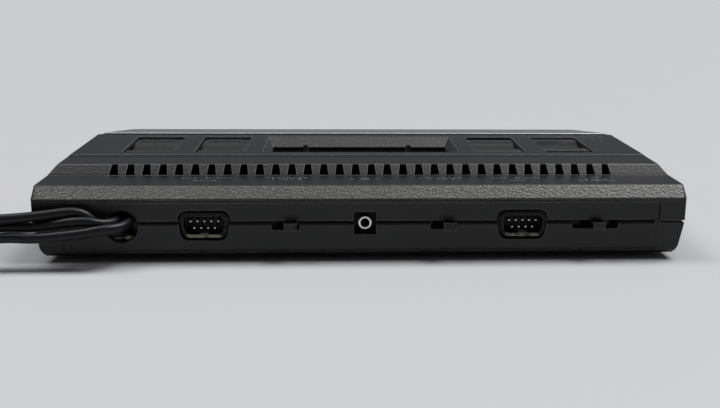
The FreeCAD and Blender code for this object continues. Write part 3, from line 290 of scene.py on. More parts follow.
def metal(name, look):
    # plated or brushed metal: tint clouds, brush lines along one axis, and a painted highlight along edges
    look = {**plainMetal, **look}
    material, shader, place = newFinish(name)
    clouds = noise(place, look["cloud"], 3)
    colour = blendColours(between(clouds, 0.3, 0.7, 0, 1), look["dark"], look["light"])
    lines = noise(place, look["brush"], stretch=look["stretch"])
    if "lineTint" in look:
        colour = blendColours(between(lines, 0.3, 0.7, 0, look["lineTint"]), colour, look["lineColour"])
    rough = between(clouds, 0.3, 0.7, look["rough"] - look["vary"], look["rough"] + look["vary"])
    rough = rough + (lines - 0.5) * look["lineRough"]
    edges = softEdges(place, look["edge"]) if "edge" in look else None
    # painted highlight along edges: a near-white colour, and rougher there
    if "paintedHighlight" in look:
        edgeHighlight = paintedEdgeHighlight(place, edges, look["paintedHighlight"])
        colour = blendColours(edgeHighlight, colour, look["paintedHighlightColour"])
        rough = rough + edgeHighlight * look["paintedHighlightRough"]
    colour.into(shader.inputs["Base Color"])
    rough.into(shader.inputs["Roughness"])
    bump(lines, look["depth"], edges).into(shader.inputs["Normal"])
    shader.inputs["Metallic"].default_value = 1.0
    return material


def twoTone(name, look):
    # two colours in soft patches, for small printed or soldered details
    material, shader, place = newFinish(name)
    patches = between(noise(place, look["patch"]), *look["blend"], 0, 1)
    blendColours(patches, look["dark"], look["light"]).into(shader.inputs["Base Color"])
    shader.inputs["Roughness"].default_value = look["rough"]
    shader.inputs["Metallic"].default_value = look["metallic"]
    return material


# finishes, one for each material slot of the record; boxes are corners as (x, u, h) in millimetres
finishes = {
    "case_plastic": moulded("case_plastic", {
        "dark": (0.0056, 0.0060, 0.0072, 1), "light": (0.0074, 0.0079, 0.0092, 1), "cloud": 0.03,
        "rough": 0.40, "vary": 0.03, "grain": 0.00045, "depth": 0.00001, "edge": 0.0004, "shine": 0.42,
        # a pale grey painted highlight along every edge
        "dust": 0.0042, "paintedHighlight": 0.62, "paintedHighlightColour": (0.42, 0.42, 0.40, 1),
        # painted highlight made stronger on the vent ribs, the top's little step, and the lower lips of the
        # jack's and levers' openings
        "paintedHighlightMore": [((-131, 24.0, 27.9), (131, 28.8, 32.4), 0.38),
                     ((-131, 45.4, 31.6), (131, 48.2, 33.0), 0.38),
                     ((-4.6, -1, 7.8), (4.6, 1.4, 8.8), 0.38), ((-125, -1, 9.9), (60, 1.4, 10.8), 0.38)],
        "coarse": {
            # the row of vents, and the deck round the cartridge opening
            "boxes": [((-131, 24.5, 28.15), (131, 28.2, 31.95)), ((-44.0, 53.6, 26.0), (44.0, 95.2, 32.5))],
            "grain": 0.0006, "dark": (0.006, 0.006, 0.0065, 1), "light": (0.028, 0.028, 0.0265, 1),
            "rough": 0.42, "depth": 0.00014}}),
    "cap_plastic": moulded("cap_plastic", {
        "dark": (0.0065, 0.0070, 0.0082, 1), "light": (0.0090, 0.0095, 0.0105, 1), "cloud": 0.01,
        "rough": 0.28, "vary": 0.04, "grain": 0.0003, "depth": 0.000008, "edge": 0.0003, "shine": 0.45,
        # a grey painted highlight along the caps' edges and ridges
        "dust": 0.005, "paintedHighlight": 0.9, "paintedHighlightColour": (0.25, 0.25, 0.24, 1),
        "coarse": {
            # the caps' broad parts, short of their far strips
            "boxes": [((-120, 54.5, 28.0), (120, 84.2, 31.60))],
            "grain": 0.0006, "dark": (0.003, 0.003, 0.003, 1), "light": (0.013, 0.013, 0.0125, 1),
            "rough": 0.46, "depth": 0.00014}}),
    "port_plastic": moulded("port_plastic", {
        "dark": (0.0018, 0.0018, 0.0022, 1), "light": (0.0030, 0.0030, 0.0034, 1), "cloud": 0.006,
        "rough": 0.30, "vary": 0.05, "grain": 0.0003, "depth": 0.000008, "edge": 0.0003, "shine": 0.14,
        # a grey painted highlight along the rims and ribs of the ports and levers
        "paintedHighlight": 1.0, "paintedHighlightColour": (0.36, 0.36, 0.34, 1),
        # painted glints in pale patches on the lower lip of each port, and on the edge just above it
        "paintedGlintBoxes": [((57.5, -1, 6.9), (72.5, 2.6, 7.55)), ((-71.5, -1, 6.9), (-56.5, 2.6, 7.55)),
                    ((58.5, -1, 7.98), (71.5, 2.6, 8.38)), ((-70.5, -1, 7.98), (-57.5, 2.6, 8.38))],
        "coarse": {
            # painted light: the sides of the cartridge guide's two posts, far paler than the plastic so that
            # they show though little light reaches into the well
            "boxes": [((-25.0, 84.8, 16.0), (27.4, 89.1, 29.5))],
            "grain": 0.0006, "dark": (0.11, 0.11, 0.115, 1), "light": (0.24, 0.24, 0.235, 1),
            "rough": 0.42, "depth": 0.0001}}),
    "rubber": moulded("rubber", {
        "dark": (0.016, 0.016, 0.016, 1), "light": (0.026, 0.026, 0.025, 1), "cloud": 0.004,
        "rough": 0.78, "vary": 0.06, "grain": 0.0005, "depth": 0.00003, "edge": 0.0004}),
    "chip_plastic": moulded("chip_plastic", {
        "dark": (0.011, 0.011, 0.011, 1), "light": (0.017, 0.017, 0.017, 1), "cloud": 0.003,
        "rough": 0.55, "vary": 0.05, "grain": 0.0002, "depth": 0.00001, "edge": 0.00015}),
    "white_plastic": moulded("white_plastic", {
        "dark": (0.62, 0.60, 0.53, 1), "light": (0.70, 0.68, 0.61, 1), "rough": 0.42, "edge": 0.00015}),
    "beige_plastic": moulded("beige_plastic", {
        "dark": (0.46, 0.40, 0.28, 1), "light": (0.52, 0.46, 0.33, 1), "rough": 0.5, "edge": 0.00015}),
    "resistor_body": moulded("resistor_body", {
        "dark": (0.54, 0.37, 0.18, 1), "light": (0.62, 0.44, 0.22, 1), "cloud": 0.002, "rough": 0.3}),
    "capacitor_sleeve": moulded("capacitor_sleeve", {
        "dark": (0.012, 0.045, 0.18, 1), "light": (0.016, 0.06, 0.23, 1), "cloud": 0.004,
        "rough": 0.22, "coat": 0.4, "edge": 0.00015}),
    "board_laminate": moulded("board_laminate", {
        "dark": (0.010, 0.085, 0.030, 1), "light": (0.014, 0.12, 0.042, 1), "cloud": 0.002,
        "rough": 0.33, "grain": 0.0006, "depth": 0.00002, "coat": 0.3}),
    "lead_vinyl": moulded("lead_vinyl", {
        "dark": (0.0040, 0.0044, 0.0056, 1), "light": (0.0058, 0.0062, 0.0078, 1), "cloud": 0.012,
        "rough": 0.38, "vary": 0.04, "grain": 0.0006, "depth": 0.00001, "dust": 0.006, "shine": 0.30}),
    "yellow_vinyl": moulded("yellow_vinyl", {
        "dark": (0.66, 0.38, 0.010, 1), "light": (0.72, 0.44, 0.014, 1), "rough": 0.34, "edge": 0.0003}),
    "white_vinyl": moulded("white_vinyl", {
        "dark": (0.64, 0.64, 0.61, 1), "light": (0.70, 0.70, 0.67, 1), "rough": 0.34, "edge": 0.0003}),
    "red_vinyl": moulded("red_vinyl", {
        "dark": (0.42, 0.020, 0.014, 1), "light": (0.48, 0.026, 0.018, 1), "rough": 0.34, "edge": 0.0003}),
    "tie_strap": moulded("tie_strap", {
        "dark": (0.012, 0.012, 0.013, 1), "light": (0.020, 0.020, 0.022, 1), "cloud": 0.002,
        "rough": 0.5, "grain": 0.0008, "depth": 0.00006, "edge": 0.0002}),
    # the plate's edges carry a near-white painted highlight
    "trim_metal": metal("trim_metal", {
        "dark": (0.29, 0.295, 0.305, 1), "light": (0.31, 0.315, 0.325, 1), "cloud": 0.05, "lineTint": 0.18,
        "brush": 0.00022, "stretch": (80, 1, 1), "rough": 0.33, "vary": 0.012, "edge": 0.0005, "paintedHighlight": 1.0}),
    "plated_steel": metal("plated_steel", {
        "dark": (0.52, 0.53, 0.55, 1), "light": (0.64, 0.66, 0.68, 1), "rough": 0.30, "edge": 0.0001}),
    "nickel": metal("nickel", {
        "dark": (0.74, 0.73, 0.70, 1), "light": (0.84, 0.83, 0.80, 1), "cloud": 0.003, "rough": 0.18,
        "edge": 0.0005}),
    "gold_contact": metal("gold_contact", {
        "dark": (0.72, 0.52, 0.22, 1), "light": (0.82, 0.62, 0.30, 1), "cloud": 0.002, "rough": 0.22}),
    "tin_plate": metal("tin_plate", {
        "dark": (0.55, 0.57, 0.60, 1), "light": (0.66, 0.68, 0.70, 1), "rough": 0.25, "edge": 0.0002}),
    "heat_sink": metal("heat_sink", {
        "dark": (0.38, 0.39, 0.40, 1), "light": (0.48, 0.49, 0.50, 1), "rough": 0.38,
        "stretch": (1, 1, 30), "edge": 0.0002}),
}
print("finishes made:", len(finishes))

# each CAD node keeps its shape and takes its slot's finish
for row in frame["record"]["subparts"]:
    node = frame["nodes"][row["node"]]
    node.data.materials.clear()
    node.data.materials.append(finishes[row["material_slot"]])

# leads: points from the outlet to the coil, the coil on two layers, and a tail to the plug, all in metres
leads = {
    "diameter": 0.0041,
    "coilCentre": (0.194, 0.06655),
    "coilOuter": 0.0332,
    "coilPitch": 0.0048,        # between turns side by side, and between the two layers
    "turns": 7.25,
    "pointsPerTurn": 16,
    "steps": 6,                 # along the line from one point to the next
    "roundness": 6,             # of the tube
}
routes = {
    "video": {
        "out": [(0.09395, 0.08075, 0.01660), (0.09390, 0.08630, 0.01680), (0.09370, 0.09120, 0.01650),
                (0.09590, 0.09660, 0.01580), (0.10210, 0.10070, 0.01600), (0.10930, 0.10025, 0.01455),
                (0.11570, 0.10010, 0.01370), (0.12800, 0.10020, 0.01250), (0.14070, 0.10030, 0.01340),
                (0.15500, 0.09990, 0.01020), (0.17000, 0.09990, 0.00530), (0.18200, 0.09975, 0.00325),
                (0.18990, 0.09975, 0.00325)],
        "coilBase": 0.00325,
        "tail": [(0.22720, 0.05055, 0.00795), (0.22840, 0.03420, 0.00640), (0.22740, 0.02000, 0.00515),
                 (0.22740, 0.00800, 0.00515)],
        "length": 1.293,
    },
    "left_sound": {
        "out": [(0.09820, 0.08075, 0.01660), (0.09795, 0.08560, 0.01780), (0.09890, 0.09180, 0.01680),
                (0.10340, 0.09610, 0.01710), (0.10870, 0.09710, 0.01870), (0.11810, 0.09650, 0.01775),
                (0.12860, 0.09600, 0.01575), (0.14150, 0.09660, 0.01645), (0.15300, 0.09810, 0.01570),
                (0.16400, 0.09950, 0.01460), (0.17300, 0.09985, 0.01330), (0.18200, 0.09975, 0.01285),
                (0.18990, 0.09975, 0.01285)],
        "coilBase": 0.01285,
        "tail": [(0.22710, 0.05055, 0.01715), (0.22450, 0.03400, 0.01160), (0.21640, 0.02000, 0.00640),
                 (0.21300, 0.00800, 0.00515), (0.21300, -0.00200, 0.00515)],
        "length": 1.299,
    },
    "right_sound": {
        "out": [(0.09620, 0.08075, 0.01130), (0.09630, 0.08450, 0.01125), (0.09950, 0.08970, 0.01190),
                (0.10470, 0.09210, 0.01460), (0.11130, 0.09330, 0.02220), (0.12500, 0.09590, 0.02075),
                (0.13700, 0.09810, 0.01998), (0.14800, 0.09970, 0.01990), (0.16000, 0.09990, 0.02010),
                (0.17300, 0.09960, 0.02160), (0.18200, 0.09975, 0.02245), (0.18990, 0.09975, 0.02245)],
        "coilBase": 0.02245,
        "tail": [(0.22700, 0.05055, 0.02675), (0.22250, 0.03420, 0.01970), (0.21200, 0.02020, 0.01140),
                 (0.20260, 0.00960, 0.00640), (0.19860, 0.00060, 0.00515), (0.19860, -0.00800, 0.00515)],
        "length": 1.313,
    },
}


def coilPoints(base):
    # corners of the polygon round the coil: its radius falls by the pitch in each turn of the lower layer
    # and grows again on the upper one, and the height eases up over the half turn at the middle
    steps = leads["pointsPerTurn"]
    count = int(leads["turns"] * steps)
    angle = (np.arange(count) + 0.5) * 2 * np.pi / steps
    fromMiddle = angle - leads["turns"] * np.pi
    blend = np.pi / 2       # a quarter turn each side of the middle
    away = np.abs(fromMiddle)
    away = np.where(away < blend, (away ** 2 + blend ** 2) / (2 * blend), away)
    inner = leads["coilOuter"] - leads["coilPitch"] * leads["turns"] / 2
    radius = (inner + leads["coilPitch"] * away / (2 * np.pi)) / np.cos(np.pi / steps)
    share = np.clip((fromMiddle + blend) / (2 * blend), 0, 1)
    height = base + leads["coilPitch"] * share * share * (3 - 2 * share)
    around = np.pi / 2 - angle
    centreX, centreY = leads["coilCentre"]
    return np.stack([centreX + radius * np.cos(around), centreY + radius * np.sin(around), height], axis=1)


def addLead(name, route):
    # a round tube along a smooth spline that has the route's points as its control points
    points = np.concatenate([route["out"], coilPoints(route["coilBase"]), route["tail"]])
    curve = bpy.data.curves.new(name + "_cable", "CURVE")
    curve.dimensions = "3D"
    curve.resolution_u = leads["steps"]
    curve.bevel_depth = leads["diameter"] / 2
    curve.bevel_resolution = leads["roundness"]
    curve.use_fill_caps = True
    curve.materials.append(finishes["lead_vinyl"])
    spline = curve.splines.new("NURBS")
    spline.points.add(len(points) - 1)
    spline.points.foreach_set("co", np.c_[points, np.ones(len(points))].ravel())
    spline.order_u = 3
    spline.use_endpoint_u = True
    cable = bpy.data.objects.new(name + "_cable", curve)
    bpy.context.scene.collection.objects.link(cable)
    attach(cable, "console")
    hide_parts(name + "_lead", name + "_coil")
    frame["nodes"][name + "_plug"]


for name, route in routes.items():
    addLead(name, route)
print("leads laid:", len(routes))


def frameMillimetres(points):
    # (x, u, h) in millimetres to the frame's metres
    x, u, h = np.moveaxis(np.asarray(points, float), -1, 0)
    return np.stack([x, rearY - u, h + underZ], axis=-1) * mm


def addPiece(name, points, faces, slot, body="console", smooth=False, finish=None):
    # a mesh with its slot's finish or its own, attached to its body unless body is None
    mesh = bpy.data.meshes.new(name)
    mesh.from_pydata(points.tolist(), [], faces)
    mesh.polygons.foreach_set("use_smooth", np.full(len(mesh.polygons), smooth))
    mesh.materials.append(finish or finishes[slot])
    piece = bpy.data.objects.new(name, mesh)
    bpy.context.scene.collection.objects.link(piece)
    if body:
        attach(piece, body)
    return piece


def gridFaces(rows, columns):
    # quads between the neighbours of a grid of rows x columns points
    corner = (np.arange(rows - 1)[:, None] * columns + np.arange(columns - 1)[None]).ravel()
    return np.stack([corner, corner + 1, corner + columns + 1, corner + columns], axis=1).tolist()


def ringFaces(rings, sides):
    # quads between rings of `sides` points, each ring closed on itself
    ring, side = np.meshgrid(np.arange(rings - 1) * sides, np.arange(sides), indexing="ij")
    after = (side + 1) % sides
    quads = [ring + side, ring + after, ring + sides + after, ring + sides + side]
    return np.stack(quads, axis=-1).reshape(-1, 4).tolist()


def gather(points, faces, morePoints, moreFaces):
    # puts one shape's points and faces after those already there
    faces += [[len(points) + v for v in face] for face in moreFaces]
    points += morePoints


# coarse moulded grain on the rear band, in millimetres
band = {
    "half": 130.7, "low": (0.12, 23.12), "high": (4.50, 27.68),     # (u, h) of its long edges
    "cell": 0.20, "seed": 11,
    "relief": 0.20,             # from the deepest pit to the highest grain
    "cut": 1.8,                 # grains beyond this many deviations are cut level
    "broad": (4, 0.15),         # blurring passes and share of the wider swell
    "lift": 0.01, "sink": 0.04, "border": 1,        # above the case, and below it in the outermost cells
    # painted highlight: the grain tops take the pale colour, the pits the dark one
    "dark": (0.012, 0.0118, 0.011, 1), "light": (0.15, 0.145, 0.134, 1), "paintedPeakHighlight": (0.30, 0.85),
    "rough": (0.40, 0.28), "polished": (0.3, 0.8), "shine": 0.9,
    "fine": 0.0003, "fineDepth": 0.00004,           # metres
}


def blurred(values, passes):
    # each pass averages a value with its neighbours along both directions
    for _ in range(passes):
        for axis in (0, 1):
            wide = np.pad(values, [(1, 1) if a == axis else (0, 0) for a in (0, 1)], mode="edge")
            parts = [np.take(wide, range(k, k + values.shape[axis]), axis=axis) for k in (0, 1, 2)]
            values = (parts[0] + 2 * parts[1] + parts[2]) / 4
    return values


def makeBand(look):
    # height field over the slope: random grains at two sizes, sinking below the case at its border,
    # with one long face closing it behind
    lowU, lowH = look["low"]
    highU, highH = look["high"]
    length = math.hypot(highU - lowU, highH - lowH)
    columns = int(2 * look["half"] / look["cell"]) + 1
    rows = int(length / look["cell"]) + 1
    chance = np.random.default_rng(look["seed"])
    fine = chance.standard_normal((rows, columns))
    passes, broadShare = look["broad"]
    broad = blurred(chance.standard_normal((rows, columns)), passes)
    grain = fine / fine.std() + broadShare * broad / broad.std()
    grain = np.clip((grain + look["cut"]) / (2 * look["cut"]), 0, 1) * look["relief"]
    edge = np.minimum.outer(np.minimum(np.arange(rows), np.arange(rows)[::-1]),
                            np.minimum(np.arange(columns), np.arange(columns)[::-1]))
    grain = np.where(edge < look["border"], -look["sink"], grain + look["lift"])
    x = np.linspace(look["half"], -look["half"], columns)[None].repeat(rows, 0)
    share = np.linspace(0, 1, rows)[:, None]
    outU, outH = -(highH - lowH) / length, (highU - lowU) / length
    points = np.stack([x, lowU + (highU - lowU) * share + outU * grain,
                       lowH + (highH - lowH) * share + outH * grain], axis=-1)
    faces = gridFaces(rows, columns)
    lastRow = (rows - 1) * columns
    rim = list(range(columns)) + [r * columns + columns - 1 for r in range(1, rows)]
    rim += list(range(lastRow + columns - 2, lastRow - 1, -1)) + [r * columns for r in range(rows - 2, 0, -1)]
    faces.append(rim[::-1])
    return frameMillimetres(points.reshape(-1, 3)), faces, (grain / look["relief"]).ravel()


def grained(look):
    # painted highlight: paler where the grains stand up, dark as the case in the pits between them; smoother
    # on the tops and duller in the pits
    material, shader, place = newFinish("band_grain_painted_sheen")
    peaks = place.node("ShaderNodeAttribute", {"attribute_name": "grainHeight"}, output=2)
    paintedPeakHighlight = between(peaks, *look["paintedPeakHighlight"], 0, 1)
    blendColours(paintedPeakHighlight, look["dark"], look["light"]).into(shader.inputs["Base Color"])
    between(peaks, *look["polished"], *look["rough"]).into(shader.inputs["Roughness"])
    bump(noise(place, look["fine"]), look["fineDepth"]).into(shader.inputs["Normal"])
    shader.inputs["Specular IOR Level"].default_value = look["shine"]
    return material


bandPoints, bandFaces, bandHeights = makeBand(band)
bandPiece = addPiece("rear_band_grain", bandPoints, bandFaces, "case_plastic", smooth=True,
                     finish=grained(band))
bandPiece.data.attributes.new("grainHeight", "FLOAT", "POINT").data.foreach_set("value", bandHeights)
print("band grain laid:", len(bandFaces), "faces")

# printed marks on the strip above the sockets, in millimetres: numbers, pin dashes and polarity signs only
marks = {
    "height": 28.0, "thick": 0.02, "lift": 0.012, "under": 0.01,
    "line": 0.28, "numeral": 2.3,
    "dashLengths": (0.6, 0.72),         # in turn, as shares of a dash's place
    "dashWidths": (2.6, 1.5, 1.5),      # in turn, in lines
    "numerals": [
        # numeral, x, u
        ("1", 65.0, 18.9), ("1", 37.6, 16.2), ("2", 26.6, 16.2), ("2", -64.0, 18.0),
        ("1", -27.4, 15.4), ("2", -37.0, 15.4), ("3", -93.0, 14.2), ("4", -100.8, 14.2),
    ],
    "dashes": [
        # middle x, u, whole width, count, width of the gap left in the middle
        (65.05, 18.9, 21.0, 10, 4.4), (65.2, 14.0, 10.0, 4, 0), (-63.9, 18.0, 21.0, 10, 4.4),
        (-63.95, 13.4, 7.0, 4, 0), (32.2, 16.2, 7.0, 3, 0), (32.2, 19.3, 17.8, 8, 0),
        (-32.2, 15.4, 5.6, 3, 0), (-32.2, 18.6, 18.8, 8, 0), (-97.0, 14.2, 4.4, 2, 0),
        (-97.4, 18.6, 4.3, 2, 0), (-97.0, 12.0, 15.4, 7, 0),
    ],
    "ring": (-0.4, 16.6, 1.5), "sectors": 24, "dot": 0.45,
    "signs": (5.0, -5.8),               # x of the plus and of the minus
    "sign": (1.9, 0.9, 0.6),            # a sign's length, and the length and place of a plus's two uprights
}
inkLook = {
    "patch": 0.0005, "blend": (0.35, 0.6), "dark": (0.12, 0.12, 0.115, 1), "light": (0.34, 0.34, 0.32, 1),
    "rough": 0.5, "metallic": 0,
}


def plateFrom(outlines, height, thick):
    # closed flat plates from outlines of (x, u) points, with their tops `thick` above their bottoms;
    # an outline whose signed area is positive is turned round, so that the faces point outwards
    points, faces = [], []
    for outline in outlines:
        x, u = np.array(outline).T
        if (x * np.roll(u, -1) - np.roll(x, -1) * u).sum() > 0:
            x, u = x[::-1], u[::-1]
        count = len(x)
        under = np.stack([x, u, np.full(count, height)], axis=-1)
        plate = np.concatenate([under, under + (0, 0, thick)]).tolist()
        caps = [list(range(count, 2 * count)), list(range(count))[::-1]]
        gather(points, faces, plate, caps + ringFaces(2, count))
    return points, faces


def bar(x, u, width, depth):
    # a rectangle's corners round its middle
    return [(x - width / 2, u - depth / 2), (x + width / 2, u - depth / 2),
            (x + width / 2, u + depth / 2), (x - width / 2, u + depth / 2)]


def ringOutlines(x, u, radius, width, count):
    # a flat ring as short closed sectors between two radii
    angle = np.linspace(0, 2 * np.pi, count + 1)
    inner, outer = radius - width / 2, radius + width / 2
    return [[(x + r * math.cos(a), u + r * math.sin(a)) for r, a in
             ((inner, a0), (outer, a0), (outer, a1), (inner, a1))] for a0, a1 in zip(angle[:-1], angle[1:])]


def dashOutlines(x, u, width, count, gap, look):
    # a row of dashes, each in the middle of its place, with an opening in the row's middle for a numeral
    step = (width - gap) / count
    outlines = []
    for k in range(count):
        middle = -width / 2 + (k + 0.5) * step
        if gap and middle > -step / 4:
            middle = width / 2 - (count - 1 - k + 0.5) * step
        length, lines = look["dashLengths"][k % 2], look["dashWidths"][k % 3]
        outlines.append(bar(x + middle, u, step * length, look["line"] * lines))
    return outlines


def makeMarks(look):
    # rows of dashes, a ring round a dot, and a plus and a minus beside it
    outlines = []
    for x, u, width, count, gap in look["dashes"]:
        outlines += dashOutlines(x, u, width, count, gap, look)
    line, bold = look["line"], look["line"] * 1.2
    x, u, radius = look["ring"]
    outlines += ringOutlines(x, u, radius, bold, look["sectors"])
    outlines.append([(x + look["dot"] * math.cos(a), u + look["dot"] * math.sin(a))
                     for a in np.linspace(0, 2 * np.pi, look["sectors"] // 2, endpoint=False)])
    plus, minus = look["signs"]
    length, upright, away = look["sign"]
    outlines += [bar(plus, u, length, line), bar(plus, u - away, line, upright),
                 bar(plus, u + away, line, upright), bar(minus, u, length, bold)]
    points, faces = plateFrom(outlines, look["height"] - look["under"], look["thick"] + look["lift"])
    return frameMillimetres(points), faces


def makeNumerals(look):
    # each numeral is a flat text made a mesh, then turned to be read from the rear and laid on the strip
    points, faces = [], []
    size = look["numeral"] / 0.7        # a numeral is 0.7 of its text's size high
    for text, x, u in look["numerals"]:
        curve = bpy.data.curves.new("numeral", "FONT")
        curve.body, curve.size, curve.extrude = text, 1.0, look["thick"] / 2
        curve.align_x, curve.align_y = "CENTER", "CENTER"
        holder = bpy.data.objects.new("numeral", curve)
        flat = bpy.data.meshes.new_from_object(holder)
        co = np.empty(len(flat.vertices) * 3)
        flat.vertices.foreach_get("co", co)
        co = co.reshape(-1, 3)
        place = np.stack([x - co[:, 0] * size, u + co[:, 1] * size,
                          look["height"] + look["lift"] + co[:, 2] * 2], axis=1)
        gather(points, faces, place.tolist(), [polygon.vertices for polygon in flat.polygons])
        bpy.data.objects.remove(holder)
        bpy.data.curves.remove(curve)
        bpy.data.meshes.remove(flat)
    return frameMillimetres(points), faces


ink = twoTone("printed_marks", inkLook)
for name, (points, faces) in (("strip_marks", makeMarks(marks)), ("strip_numerals", makeNumerals(marks))):
    addPiece(name, points, faces, "case_plastic", finish=ink)
    print(name, "printed:", len(faces), "faces")

# grip ridges on the far strips of the two push caps, in millimetres
ridges = {"count": 8, "pitch": 1.95, "width": 0.85, "length": 5.0, "rise": 0.34, "round": 0.16,
          "root": 0.05, "u": 89.4, "shift": 0.8, "top": 31.7}


def softBar(x, look):
    # a bar with its top edges rounded: one outline at four heights, drawn in as it rises, and closed ends
    edge, rise = look["round"], look["rise"]
    inset = np.array([0, 0, edge * 0.3, edge])[:, None]
    up = np.array([-look["root"], rise - edge, rise - edge * 0.3, rise])[:, None]
    left, near = np.array([-1, 1, 1, -1]), np.array([-1, -1, 1, 1])
    grid = np.stack([x + left * (look["width"] / 2 - inset), look["u"] + near * (look["length"] / 2 - inset),
                     look["top"] + up + 0 * left], axis=-1)
    faces = [face[::-1] for face in ringFaces(4, 4)] + [[12, 15, 14, 13], [0, 1, 2, 3]]
    return grid.reshape(-1, 3).tolist(), faces


def makeRidges(look, middle):
    # a row of bars a pitch apart, shifted from the cap's middle
    points, faces = [], []
    for k in range(look["count"]):
        x = middle + look["shift"] + (k - (look["count"] - 1) / 2) * look["pitch"]
        gather(points, faces, *softBar(x, look))
    return frameMillimetres(points), faces


for body in ("reset_button", "select_button"):
    low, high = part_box(body + "_cap")
    points, faces = makeRidges(ridges, (low[0] + high[0]) / 2 / mm)
    addPiece(body + "_ridges", points, faces, "cap_plastic", body=body)
print("ridges raised")

# solder on the board's rear edge, seen through the cable outlet, in millimetres
solder = {
    "drops": [((99.7, 6.2, 6.2), (2.2, 1.5, 1.2)), ((95.2, 6.2, 6.2), (2.2, 1.5, 1.1))],    # middle, radii
    "steps": 24, "swell": 0.08,
}
solderLook = {
    "patch": 0.0009, "blend": (0.35, 0.65), "dark": (0.50, 0.47, 0.36, 1), "light": (0.95, 0.92, 0.78, 1),
    "rough": 0.35, "metallic": 0.35,
}


def dropGrid(centre, radii, look):
    # an ellipsoid: the middle plus the radii times (sin down cos across, sin down sin across, cos down),
    # with slight swellings, closed at both poles
    steps = look["steps"]
    across = np.linspace(0, 2 * np.pi, steps, endpoint=False)[None]
    down = np.linspace(0, np.pi, steps // 2 + 1)[1:-1, None]
    swell = 1 + look["swell"] * np.sin(3 * across + 1) * np.sin(2 * down)
    grid = np.stack([centre[0] + radii[0] * swell * np.sin(down) * np.cos(across),
                     centre[1] + radii[1] * swell * np.sin(down) * np.sin(across),
                     centre[2] + radii[2] * np.cos(down) + 0 * across], axis=-1)
    poles = [(centre[0], centre[1], centre[2] + radii[2]), (centre[0], centre[1], centre[2] - radii[2])]
    top, bottom = grid.size // 3, grid.size // 3 + 1
    here = np.arange(steps)
    after = np.roll(here, -1)
    last = top - steps      # where the lowest ring starts
    fans = np.concatenate([np.stack([np.full(steps, top), after, here], axis=-1),
                           np.stack([np.full(steps, bottom), last + here, last + after], axis=-1)])
    return grid.reshape(-1, 3).tolist() + poles, ringFaces(len(grid), steps) + fans.tolist()


points, faces = [], []
for centre, radii in solder["drops"]:
    gather(points, faces, *dropGrid(centre, radii, solder))
addPiece("board_edge_solder", frameMillimetres(points), faces, "tin_plate", smooth=True,
         finish=twoTone("solder", solderLook))

# keying pads on the floors of the two ports, in millimetres
pads = {
    "half": (1.75, 1.15), "u": (2.3, 7.4),      # half widths and depths of the near and far ends
    "low": 8.2, "high": 8.62,
}
padLook = {
    "patch": 0.0008, "blend": (0, 1), "dark": (0.16, 0.155, 0.13, 1), "light": (0.26, 0.25, 0.22, 1),
    "rough": 0.35, "metallic": 0,
}


def makePad(x, look):
    # a low block, narrower towards the back of the port
    (wide, narrow), (near, far) = look["half"], look["u"]
    outline = [(x - wide, near), (x + wide, near), (x + narrow, far), (x - narrow, far)]
    points, faces = plateFrom([outline], look["low"], look["high"] - look["low"])
    return frameMillimetres(points), faces


keyed = twoTone("port_key", padLook)
for side in ("left", "right"):
    low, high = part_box(side + "_port_shell")
    points, faces = makePad((low[0] + high[0]) / 2 / mm, pads)
    addPiece(side + "_port_key", points, faces, "port_plastic", finish=keyed)
print("solder and port keys made")

# return springs, drawn again as wire helices in place of the CAD ones
springs = {
    "wire": 0.0003,         # radius of the wire in metres
    "turns": 5,
    "ringsPerTurn": 36,
    "sides": 10,
}


def makeSpring(low, high, look):
    # a tube on a helix: its line is (r cos t, r sin t, rise t), and each ring stands square to it
    wire, sides = look["wire"], look["sides"]
    rings = look["turns"] * look["ringsPerTurn"] + 1
    t = np.linspace(0, 2 * math.pi * look["turns"], rings)[:, None]
    around = np.linspace(0, 2 * math.pi, sides, endpoint=False)[None, :]
    reach = (high[0] - low[0]) / 2 - wire
    rise = (high[2] - low[2] - 2 * wire) / t[-1, 0]
    lean = math.atan2(rise, reach)      # how steeply the wire climbs
    out = reach + wire * np.cos(around)
    side = wire * np.sin(around)
    x = out * np.cos(t) - side * math.sin(lean) * np.sin(t)
    y = out * np.sin(t) + side * math.sin(lean) * np.cos(t)
    z = low[2] + wire + rise * t - side * math.cos(lean)
    points = np.stack([x + (low[0] + high[0]) / 2, y + (low[1] + high[1]) / 2, z], axis=-1).reshape(-1, 3)
    ends = [list(range(sides))[::-1], list(range((rings - 1) * sides, rings * sides))]
    return points, ringFaces(rings, sides) + ends


for button in ("reset", "select"):
    node = button + "_return_spring"
    low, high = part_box(node)
    points, faces = makeSpring(low, high, springs)
    spring = addPiece(button + "_spring", points, faces, "plated_steel", body=None, smooth=True)
    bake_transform(spring)
    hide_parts(node)
print("springs made")

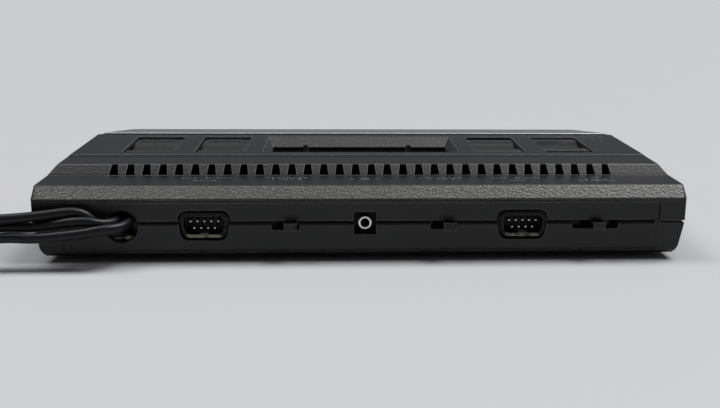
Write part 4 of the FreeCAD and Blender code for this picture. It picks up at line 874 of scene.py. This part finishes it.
# floor, lamps and world
studio = {
    "floorHalf": 12,
    "floorColour": (0.62, 0.625, 0.635, 1),
    "floorBounce": (0.35, 0.35, 0.355, 1),  # what it throws back on dull surfaces
    "floorRough": 0.6, "floorShine": 0.3,
    "worldColour": (0.93, 0.95, 1.0, 1),
    "horizon": 0.16, "overhead": 0.26,      # what gloss reflects at eye level and from above
    "overheadFrom": 0.8,                    # the sine of the height at which overhead is reached
    "fill": 0.07,                           # the world's light on dull surfaces
    "spread": 28,                           # degrees that each lamp covers
    "lamps": [
        # direction to the lamp, power
        ((-0.50, -0.18, 1.0), 2.05),
        ((0.00, -0.20, 1.0), 0.40),
        ((0.50, -0.22, 1.0), 0.90),
    ],
}


def addLamp(name, towards, power):
    # a wide lamp far away, so that the whole floor is lit alike and shadows fade out softly
    light = bpy.data.lights.new(name, "SUN")
    light.energy, light.angle = power, math.radians(studio["spread"])
    lamp = bpy.data.objects.new(name, light)
    lamp.rotation_euler = Vector(towards).to_track_quat("Z", "Y").to_euler()
    bpy.context.scene.collection.objects.link(lamp)


def addFloor(look):
    # a wide square, paler to the eye than in the light it throws back
    half = look["floorHalf"]
    mesh = bpy.data.meshes.new("floor")
    corners = [(x * half, y * half, 0) for x, y in ((-1, -1), (1, -1), (1, 1), (-1, 1))]
    mesh.from_pydata(corners, [], [(0, 1, 2, 3)])
    material, shader, place = newFinish("floor")
    colour = blendColours(seenDirectly(place.tree), look["floorBounce"], look["floorColour"])
    colour.into(shader.inputs["Base Color"])
    shader.inputs["Roughness"].default_value = look["floorRough"]
    shader.inputs["Specular IOR Level"].default_value = look["floorShine"]
    mesh.materials.append(material)
    floor = bpy.data.objects.new("floor", mesh)
    bpy.context.scene.collection.objects.link(floor)


def setWorld(look):
    # gloss sees a sky that brightens with height, and dull surfaces get one even light
    world = bpy.data.worlds.new("studio")
    bpy.context.scene.world = world
    world.use_nodes = True
    tree = world.node_tree
    air = tree.nodes["Background"]
    air.inputs["Color"].default_value = look["worldColour"]
    towards = tree.nodes.new("ShaderNodeTexCoord")
    height = Signal(tree, towards.outputs["Generated"]).parts()[2]
    sky = between(height, 0, look["overheadFrom"], look["horizon"], look["overhead"])
    (seenDirectly(tree) * (sky - look["fill"]) + look["fill"]).into(air.inputs["Strength"])


addFloor(studio)
for number, (towards, power) in enumerate(studio["lamps"]):
    addLamp("lamp_%d" % number, towards, power)
setWorld(studio)
bpy.context.scene.view_settings.view_transform = "Standard"
print("studio ready")
